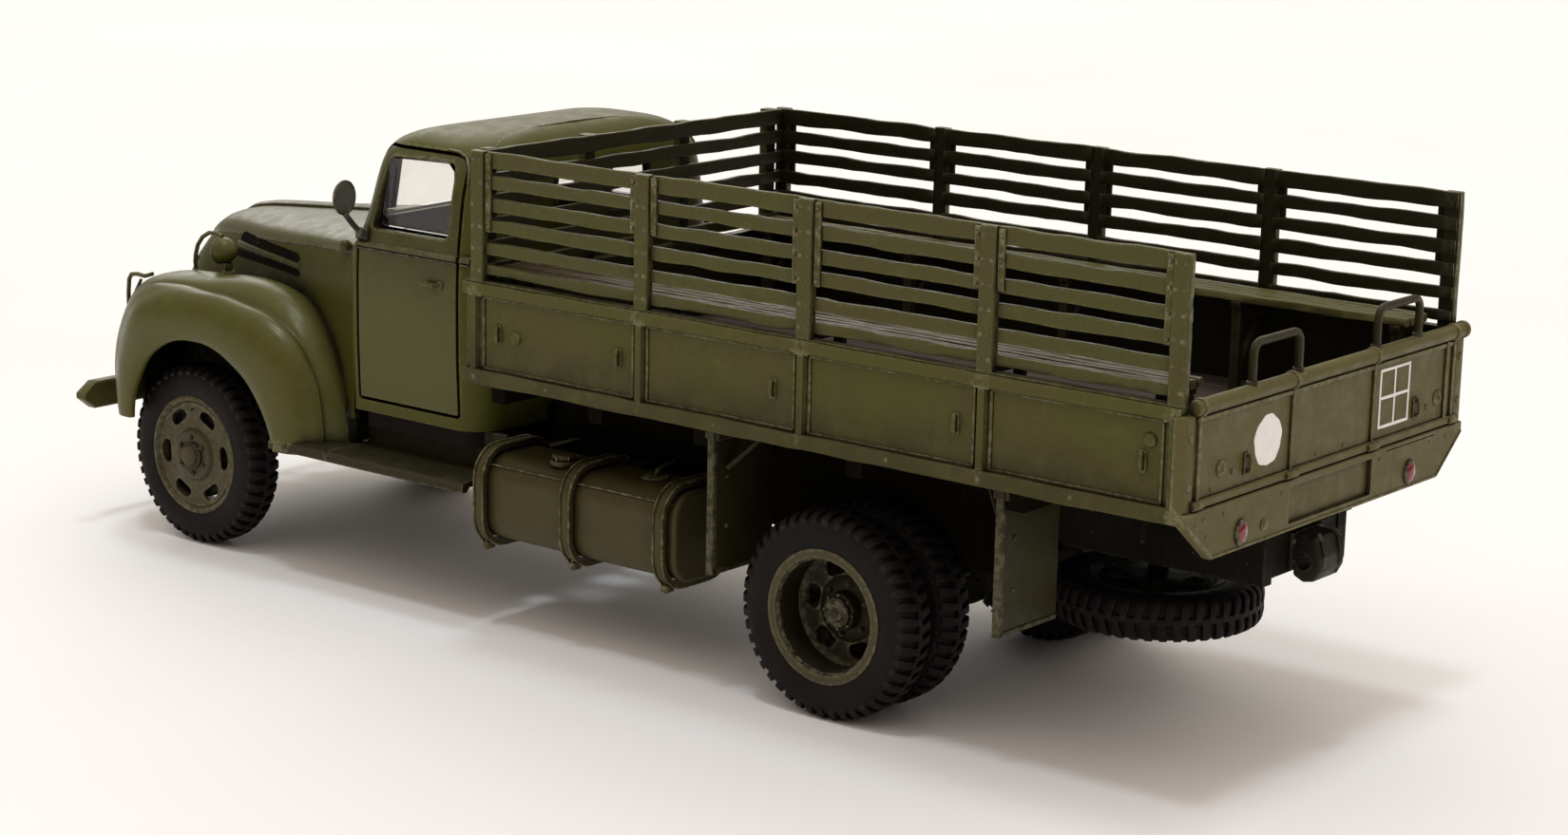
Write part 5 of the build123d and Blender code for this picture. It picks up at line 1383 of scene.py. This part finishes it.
for side in (-1, 1):
    # chain loops and their rosettes
    x = 9.1 if side > 0 else -9.6
    gate.tube([(x, TY, 18.98), (x, TY + 0.28, 18.98), (x, TY + 0.36, 18.85), (x, TY + 0.36, 18.25), (x, TY + 0.28, 18.12), (x, TY, 18.12)], 0.13, 8)
    gate.box(x - 0.24, x + 0.24, TY - 0.02, TY + 0.12, 17.95, 19.15, c=0.04)
    x = 11.6 if side > 0 else -12.3
    gate.dome((x, TY - 0.02, 18.7), (0, 1, 0), 0.48, 0.22, 18)
    gate.dome((x, TY + 0.16, 18.7), (0, 1, 0), 0.2, 0.14, 10)
    gate.dome((x - side * 1.2, TY - 0.02, 18.35), (0, 1, 0), 0.2, 0.14, 10)
    for hx in (-2.9, 2.9):
        gate.dome((side * 7.0 + hx * 1.9, TY - 0.02, 17.72), (0, 1, 0), 0.13, 0.09, 8)
piece("tailgate_rail", gate, "tail", angle=45)
posts = Solid()
for side in (-1, 1):
    # corner posts and the hinge eyes of the gate
    x0, x1 = sorted((side * 14.35, side * 15.28))
    posts.box(x0, x1, 23.5, TY + 0.05, 16.15, 22.0, c=0.09)
    posts.cyl((side * 14.6, TY + 0.12, 17.15), (side * 13.6, TY + 0.12, 17.15), 0.26, 14, c=0.05)
    posts.cyl((side * 5.1, TY + 0.22, 17.15), (side * 3.9, TY + 0.22, 17.15), 0.22, 14, c=0.05)
    posts.dome((side * 14.82, TY + 0.03, 20.8), (0, 1, 0), 0.24, 0.14, 12)
    posts.dome((side * 14.82, TY + 0.03, 18.2), (0, 1, 0), 0.24, 0.14, 12)
piece("tail_posts", posts, "tail", angle=45)

handles = Solid()
for x in (-7.2, 6.3):
    y = TY - 0.05
    path = rounded([(x - 2.42, 22.5), (x - 2.42, 25.0), (x + 2.42, 25.0), (x + 2.42, 22.5)], [0, 0.75, 0.75, 0], 5)
    rings = []
    n = len(path)
    for i, (px, pz) in enumerate(path):
        a, b = path[max(i - 1, 0)], path[min(i + 1, n - 1)]
        t = Vector((b[0] - a[0], b[1] - a[1])).normalized()
        nx, nz = -t[1], t[0]
        w, d = 0.21, 0.21
        rings.append([(px + nx * u, y + v, pz + nz * u) for u, v in ((w, d * 0.5), (w * 0.5, d), (-w * 0.5, d), (-w, d * 0.5), (-w, -d * 0.5), (-w * 0.5, -d), (w * 0.5, -d), (w, -d * 0.5))])
    handles.rings(rings)
    for e in (-2.42, 2.42):
        handles.cyl((x + e, y, 22.55), (x + e, y, 22.95), 0.34, 12, c=0.05)
piece("handle_loops", handles, "mud", stands_for=("tailgate_handles",), angle=45)

valance = Solid()
outline = [(-15.3, 16.85), (-15.3, 16.2), (-12.45, 13.92), (12.45, 13.92), (15.3, 16.2), (15.3, 16.85)]
valance.prism(outline, "xz", REAR + 0.0, REAR + 0.62, c=0.07)
recess = Solid()
recess.prism(rounded([(-4.55, 14.35), (4.55, 14.35), (4.55, 16.45), (-4.55, 16.45)], 0.12, 2), "xz", REAR + 0.34, REAR + 1.5)
recess.prism([(-11.9, 16.55), (-6.2, 16.55), (-6.2, 16.62), (-11.9, 16.62)], "xz", REAR + 0.52, REAR + 1.5)
piece("valance_sheet", carved(valance.mesh("valance"), [cutter(recess)]), "tail", stands_for=("rear_valance",), angle=40)
valance = Solid()
valance.tube([(x, REAR + 0.60, z) for x, z in [(-15.2, 16.3), (-12.4, 14.05), (12.4, 14.05), (15.2, 16.3)]], 0.10, 6)
for x in (7.2,):
    valance.dome((x, REAR + 0.6, 14.86), (0, 1, 0), 0.36, 0.18, 16)
for x in (-13.4, -11.4, -5.4, 5.4, 11.4, 13.4):
    valance.dome((x, REAR + 0.6, 16.25), (0, 1, 0), 0.13, 0.09, 8)
for side in (-1, 1):
    for k in range(3):
        valance.dome((side * (13.1 + 0.55 * k), REAR + 0.6, 15.25 + 0.42 * k), (0, 1, 0), 0.10, 0.07, 7)
piece("valance_fittings", valance, "tail", angle=45)

cups = Solid()
lenses = Solid()
for x in (-9.0, 9.6):
    # upright oval lens in a slim cup
    cup, glow = Solid(), Solid()
    cup.revolve([(-0.1, 0.64), (0.10, 0.64), (0.16, 0.58), (0.16, 0.50), (0.08, 0.48), (-0.1, 0.48)], (x, REAR + 0.62, 14.9), (0, 1, 0), 28)
    glow.revolve([(0.0, 0.02), (0.0, 0.52), (0.16, 0.52), (0.26, 0.42), (0.33, 0.24), (0.35, 0.02)], (x, REAR + 0.60, 14.9), (0, 1, 0), 28)
    squash_x(cup, (x, 0, 14.9), 0.98, 1.15)
    squash_x(glow, (x, 0, 14.9), 0.98, 1.15)
    cups.join(cup)
    lenses.join(glow)
piece("lamp_cups", cups, "iron", stands_for=("tail_lights",), angle=45)
piece("red_lenses", lenses, "red", angle=60)

# white markings: a disc and an open grid with blank cells
marks = Solid()
ring = []
cx, cz, r = 6.85, 19.44, 1.41
edge = [(cx + (r + 0.035 * math.sin(5 * t) + 0.02 * math.sin(11 * t)) * math.cos(t), cz + (r + 0.035 * math.sin(5 * t) + 0.02 * math.sin(11 * t)) * math.sin(t)) for t in [2 * math.pi * k / 72 for k in range(72)]]
marks.rings([[(x, TY - 0.02, z) for x, z in edge], [(x, TY + 0.022, z) for x, z in edge], [(cx + (x - cx) * 0.985, TY + 0.03, cz + (z - cz) * 0.985) for x, z in edge]])
for z, h in ((21.30, 0.17), (19.70, 0.16), (18.02, 0.17)):
    marks.plank("x", -8.88, -5.38, TY - 0.02, TY + 0.025, z - h / 2, z + h / 2, steps=14, amp=0.02, c=0.01, seed=z)
for x, w in ((-8.80, 0.17), (-7.13, 0.15), (-5.46, 0.17)):
    marks.plank("z", 17.95, 21.38, x - w / 2, x + w / 2, TY - 0.02, TY + 0.025, steps=14, amp=0.008, c=0.01, seed=x)
piece("white_marks", marks, "white", angle=60)

hook = Solid()
hook.box(-1.75, 1.75, 23.08, 23.32, 10.95, 13.05, c=0.08)
for x in (-1.5, 1.5):
    for z in (11.4, 12.6):
        hook.dome((x, 23.3, z), (0, 1, 0), 0.19, 0.14, 8)
jaw = Solid()
profile = rounded([(23.15, 10.5), (23.75, 10.22), (24.45, 10.36), (24.86, 11.0), (24.88, 11.8), (24.55, 12.9), (23.15, 13.0)], [0.2, 0.35, 0.4, 0.4, 0.4, 0.35, 0.1], 4)
rings = []
for x, shrink in ((-1.32, 0.80), (-1.24, 0.92), (-1.05, 1.0), (1.05, 1.0), (1.24, 0.92), (1.32, 0.80)):
    rings.append([(x, 23.9 + (y - 23.9) * shrink, 11.6 + (z - 11.6) * shrink) for y, z in profile])
jaw.rings(rings)
bore = Solid()
bore.cyl((-3, 23.8, 11.45), (3, 23.8, 11.45), 0.5, 28)
piece("tow_pintle", carved(jaw.mesh("jaw"), [cutter(bore)]), "black", stands_for=("tow_hook",), angle=40)
# latch over the jaw
hook.tube([(-0.95, 24.35, 13.0), (-1.0, 24.72, 12.6), (-1.0, 24.88, 11.9), (-1.0, 24.82, 11.2), (-1.0, 24.5, 10.6)], 0.20, 8)
hook.tube([(0.75, 24.35, 13.0), (0.8, 24.72, 12.6), (0.8, 24.88, 11.9), (0.8, 24.82, 11.2)], 0.16, 8)
piece("pintle_latch", hook, "black", angle=45)

# =====================================================================  fuel tank, straps, mud boards
def tank_section(h, w, r, n=7, cx=10.6, cz=8.4):
    pts = []
    for sx_, sz_, a0 in ((1, 1, 0), (-1, 1, 90), (-1, -1, 180), (1, -1, 270)):
        for k in range(n):
            a = math.radians(a0 + 90 * k / (n - 1))
            pts.append((cx + sx_ * (w / 2 - r) + r * math.cos(a), cz + sz_ * (h / 2 - r) + r * math.sin(a)))
    return pts


tank = Solid()
rings = []
for y, d in ((-28.02, 0.55), (-28.12, 0.30), (-28.1, 0.10), (-27.95, 0.0), (-27.8, 0.0), (-27.72, 0.10), (-27.6, 0.06), (-24.0, 0.04), (-20.0, 0.05), (-16.0, 0.04), (-12.1, 0.06), (-11.98, 0.10), (-11.9, 0.0),
             (-11.75, 0.0), (-11.6, 0.10), (-11.56, 0.30), (-11.66, 0.55)):
    rings.append([(x, y, z) for x, z in tank_section(5.6 - 2 * d, 5.6 - 2 * d, 1.62 - d * 0.7)])
tank.rings(rings)
# long seam along the shoulder
tank.tube([(13.10, -27.7, 10.55), (13.10, -12.0, 10.55)], 0.07, 6)
# filler with cap, sender plate with screws
tank.cyl((11.7, -22.0, 11.1), (11.7, -22.0, 11.45), 0.95, 24, c=0.08)
tank.cyl((11.7, -22.0, 11.4), (11.7, -22.0, 11.78), 0.72, 24, c=0.12)
for k in range(6):
    t = math.pi * k / 3
    tank.box(11.7 + 0.74 * math.cos(t) - 0.08, 11.7 + 0.74 * math.cos(t) + 0.08, -22.0 + 0.74 * math.sin(t) - 0.08, -22.0 + 0.74 * math.sin(t) + 0.08, 11.45, 11.74, c=0.03)
tank.cyl((10.6, -15.6, 11.1), (10.6, -15.6, 11.28), 0.9, 20, c=0.05)
for k in range(5):
    t = 2 * math.pi * k / 5
    tank.dome((10.6 + 0.68 * math.cos(t), -15.6 + 0.68 * math.sin(t), 11.26), (0, 0, 1), 0.1, 0.07, 7)
tank.tube([(10.6, -15.6, 11.2), (10.4, -15.6, 11.6), (9.6, -15.7, 11.75), (8.6, -15.9, 11.75)], 0.16, 7)
piece("tank_body", tank, "tank", stands_for=("fuel_tank",), angle=45)

straps = Solid()
for y in (-27.35, -20.1, -12.6):
    rings = []
    for yy, grow in ((y - 0.42, 0.10), (y - 0.42, 0.34), (y - 0.30, 0.42), (y + 0.30, 0.42), (y + 0.42, 0.34), (y + 0.42, 0.10)):
        rings.append([(x, yy, z) for x, z in tank_section(5.6 + 2 * grow, 5.6 + 2 * grow, 1.62 + grow)])
    straps.rings(rings, closed=True)
    # raised lips along the strap's edges
    for e in (-0.36, 0.36):
        straps.tube([(x, y + e, z) for x, z in tank_section(5.6 + 0.84, 5.6 + 0.84, 2.0)], 0.085, 6, closed=True)
    straps.box(12.5, 13.2, y - 0.3, y + 0.3, 5.05, 5.55, c=0.08)
    straps.cyl((13.0, y, 5.0), (13.0, y, 5.75), 0.13, 8)
    # bracket up to the frame
    straps.box(4.5, 8.2, y - 0.28, y + 0.28, 10.2, 10.7, c=0.05)
piece("strap_bands", straps, "tank", stands_for=("tank_straps",), angle=45)

mud = Solid()
for y, z0 in ((-8.3, 7.2), (12.2, 7.5)):
    for side in (-1, 1):
        mud.plank("z", z0, 16.0, *sorted((side * 8.52, side * 14.18)), y - 0.2, y + 0.2, steps=16, amp=0.03, c=0.05, seed=y + side)
        mud.box(*sorted((side * 13.85, side * 14.2)), y - 0.26, y + 0.26, z0 - 0.02, 16.0, c=0.05)
        mud.box(*sorted((side * 8.6, side * 14.1)), y - 0.26, y + 0.26, z0 - 0.02, z0 + 0.3, c=0.05)
        # angle iron that carries the board
        e = 1 if y < 0 else -1
        mud.box(*sorted((side * 8.4, side * 14.1)), y - 0.55, y + 0.55, 15.3, 15.95, c=0.06)
        mud.tube([(side * 13.2, y + e * 0.45, 13.6), (side * 12.6, y + e * 1.4, 14.6), (side * 12.0, y + e * 2.3, 15.7)], 0.17, 7)
        for z in (10.0, 13.0):
            mud.dome((side * 12.9, y + 0.18, z), (0, 1, 0), 0.18, 0.12, 8)
            mud.dome((side * 12.9, y - 0.18, z), (0, -1, 0), 0.18, 0.12, 8)
# splash boards inside the rear wheels and the tank's bearer, in deep-shadow paint: painted shade
splash = Solid()
for side in (-1, 1):
    splash.plank("y", -9.8, 8.0, *sorted((side * 7.06, side * 7.34)), 8.8, 14.85, steps=20, amp=0.02, c=0.05, seed=side)
    for y in (-9.2, 2.0):
        splash.box(*sorted((side * 6.8, side * 7.6)), y - 0.3, y + 0.3, 13.2, 14.85, c=0.06)
piece("splash_boards", splash, "void", angle=45)
bearer = Solid()
bearer.box(4.5, 7.4, -31.5, -12.3, 9.32, 10.28, c=0.06)
piece("tank_bearer", bearer, "void", angle=45)
piece("mud_flap_boards", mud, "mud", stands_for=("mud_boards",), angle=45)

# =====================================================================  finishes of the carried-over CAD nodes
FINISH = {
    "chassis": ["frame_rails", "crossmembers", "front_axle", "rear_axle", "leaf_springs", "engine_block", "propeller_shaft", "exhaust_silencer", "spare_carrier"],
    # sills under the bed in deep-shadow paint: painted shade
    "void": ["long_sills", "cross_sills"],
    "olive": ["front_bumper", "running_boards", "headlights", "lamp_guards", "hood", "nose_shell", "grille_bars", "cab_roof", "cab_back", "cab_front", "door_left", "door_right", "fender_left", "fender_right",
              "bed_front", "rack_front", "bed_side_left", "bed_side_right", "rack_left", "rack_right"],
    "liner": ["cab_floor"],
    "seat": ["cab_bench"],
    "black": ["steering_wheel", "dashboard"],
    "glass": ["cab_glass"],
}
plain = {n: key for key, names in FINISH.items() for n in names}
for name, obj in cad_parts.items():
    obj.data.materials.clear()
    obj.data.materials.append(M[plain.get(name, "olive")])
    if plain.get(name) in ("chassis", "void") and not obj.hide_render:
        soft = obj.modifiers.new("worn_edges", "BEVEL")
        soft.width = 0.00008
        soft.segments = 2
        soft.limit_method = "ANGLE"
        soft.angle_limit = math.radians(40)

# bolts, spring leaves and small castings on the chassis
detail = Solid()
for s in (-1, 1):
    for y in [-25.5 + 3.4 * k for k in range(15)]:
        detail.dome((s * 4.48, y, 12.9), (s, 0, 0), 0.13, 0.09, 7)
        detail.dome((s * 4.48, y, 11.7), (s, 0, 0), 0.13, 0.09, 7)
    for y0, half, zs, ze in ((FRONT_Y, 6.6, 6.4, 7.35), (0.0, 7.6, 7.2, 10.75)):
        for j in range(1, 4):
            span = half * (1 - 0.2 * j)
            rings = []
            for k in range(13):
                t = -1 + 2 * k / 12
                z = zs + (ze - zs) * (t * span / half) ** 2 - 0.28 * j + 0.25
                y = y0 + t * span
                rings.append([(s * 4.05 - 0.38, y, z), (s * 4.05 + 0.38, y, z), (s * 4.05 + 0.38, y, z + 0.22), (s * 4.05 - 0.38, y, z + 0.22)])
            if zs - 0.28 * j > 5.2:
                detail.rings(rings)
        for dy in (-0.7, 0.7):
            detail.tube([(s * 4.05 - 0.55, y0 + dy, zs - 0.5), (s * 4.05 - 0.55, y0 + dy, zs + 1.35), (s * 4.05, y0 + dy, zs + 1.55), (s * 4.05 + 0.55, y0 + dy, zs + 1.35), (s * 4.05 + 0.55, y0 + dy, zs - 0.5)], 0.13, 6)
    # shackle and bump stop
    detail.cyl((s * 3.5, 7.6, 11.0), (s * 4.7, 7.6, 11.0), 0.4, 12, c=0.05)
    detail.cyl((s * 3.5, -7.6, 11.0), (s * 4.7, -7.6, 11.0), 0.4, 12, c=0.05)
for k in range(8):
    t = math.pi * k / 4
    detail.dome((1.55 * math.cos(t), 2.02, HUB + 1.55 * math.sin(t)), (0, 1, 0), 0.18, 0.3, 7)
piece("chassis_details", detail, "chassis", angle=45)

# =====================================================================  room, light, camera
scene = bpy.context.scene
eye = (156.171, 109.935, 58.796)
right = Vector((-0.62581082, 0.77968661, 0.02120403))
down = Vector((0.16013077, 0.15503945, -0.97484404))
ahead = Vector((-0.76336031, -0.60667253, -0.22187718))
camera_data = bpy.data.cameras.new("camera")
camera_data.sensor_width = 36.0
camera_data.lens = 3435.6 / 1650 * 36.0
camera_data.clip_start = 0.005
camera_data.clip_end = 20
camera = bpy.data.objects.new("camera", camera_data)
turned = Matrix((right, -down, -ahead)).transposed()
camera.matrix_world = Matrix.Translation(at(*eye)) @ turned.to_4x4()
scene.collection.objects.link(camera)
scene.camera = camera


def room():
    n = Nodes("pale_floor")
    cloud = n.noise(0.012, 3, 0.5)
    paper = n.noise(0.9, 3, 0.6)
    colour = n.mix(n.span(cloud, 0.3, 0.7), (0.89, 0.88, 0.87), (0.93, 0.925, 0.915))
    n.put(n.bsdf.inputs["Base Color"], n.mix(n.span(paper, 0.3, 0.7, 0.0, 0.06), colour, (0.84, 0.82, 0.80)))
    n.bsdf.inputs["Roughness"].default_value = 0.9
    n.bsdf.inputs["Specular IOR Level"].default_value = 0.15
    mesh = bpy.data.meshes.new("floor")
    bm = bmesh.new()
    r = 1.6
    verts = [bm.verts.new((r * math.cos(2 * math.pi * k / 64), r * math.sin(2 * math.pi * k / 64), 0.0)) for k in range(64)]
    bm.faces.new(verts)
    bm.to_mesh(mesh)
    bm.free()
    mesh.materials.append(n.material)
    obj = plain_object("floor", mesh)


room()


def sun(name, slope_x, slope_y, spread, strength, colour):
    """A far lamp. The slopes are how far it stands to the left and to the rear for each unit of height."""
    data = bpy.data.lights.new(name, "SUN")
    data.angle = math.radians(spread)
    data.energy = strength
    data.color = colour
    obj = bpy.data.objects.new(name, data)
    obj.rotation_euler = Vector((-slope_x, -slope_y, -1.0)).to_track_quat("-Z", "Y").to_euler()
    obj.location = (slope_x * 0.4, slope_y * 0.4, 0.4)
    scene.collection.objects.link(obj)


sun("key_left", 0.20, 0.02, 7.0, 0.49, (0.88, 1.0, 1.10))
sun("key_right", -0.10, -0.06, 10.0, 0.45, (0.90, 1.0, 1.08))
world = bpy.data.worlds.new("studio")
world.use_nodes = True
wt = world.node_tree
background = wt.nodes["Background"]
coord = wt.nodes.new("ShaderNodeTexCoord")


def world_map(direction, low, high, to_low, to_high):
    dot = wt.nodes.new("ShaderNodeVectorMath")
    dot.operation = "DOT_PRODUCT"
    dot.inputs[1].default_value = Vector(direction).normalized()
    wt.links.new(coord.outputs["Generated"], dot.inputs[0])
    ramp = wt.nodes.new("ShaderNodeMapRange")
    ramp.interpolation_type = "SMOOTHSTEP"
    wt.links.new(dot.outputs["Value"], ramp.inputs["Value"])
    ramp.inputs["From Min"].default_value = low
    ramp.inputs["From Max"].default_value = high
    ramp.inputs["To Min"].default_value = to_low
    ramp.inputs["To Max"].default_value = to_high
    return ramp.outputs["Result"]


# a dim warm room that grows brighter overhead, a pale wall low on the far side and a tall window ahead of the truck
room_mix = wt.nodes.new("ShaderNodeMix")
room_mix.data_type = "RGBA"
wt.links.new(world_map((0, 0, 1), 0.10, 0.80, 0.0, 1.0), room_mix.inputs[0])
room_mix.inputs[6].default_value = (0.165, 0.135, 0.115, 1.0)
room_mix.inputs[7].default_value = (0.98, 0.86, 0.775, 1.0)
wall = wt.nodes.new("ShaderNodeMath")
wall.operation = "MULTIPLY"
wt.links.new(world_map((-0.77, -0.64, 0.0), 0.15, 0.80, 0.0, 1.0), wall.inputs[0])
wt.links.new(world_map((0, 0, 1), 0.25, 0.60, 1.0, 0.0), wall.inputs[1])
mix = wt.nodes.new("ShaderNodeMix")
mix.data_type = "RGBA"
wt.links.new(wall.outputs[0], mix.inputs[0])
wt.links.new(room_mix.outputs[2], mix.inputs[6])
mix.inputs[7].default_value = (0.62, 0.60, 0.56, 1.0)
window = wt.nodes.new("ShaderNodeMix")
window.data_type = "RGBA"
wt.links.new(world_map((-0.56, -0.66, 0.50), 0.925, 0.972, 0.0, 1.0), window.inputs[0])
wt.links.new(mix.outputs[2], window.inputs[6])
window.inputs[7].default_value = (2.7, 2.64, 2.45, 1.0)
wt.links.new(window.outputs[2], background.inputs["Color"])
background.inputs["Strength"].default_value = 1.0
scene.world = world
scene.view_settings.view_transform = "Standard"
scene.view_settings.look = "None"
scene.view_settings.exposure = 0.0
scene.cycles.use_denoising = True
scene.cycles.max_bounces = 8
scene.cycles.caustics_refractive = False
scene.cycles.caustics_reflective = False
scene.cycles.transmission_bounces = 6
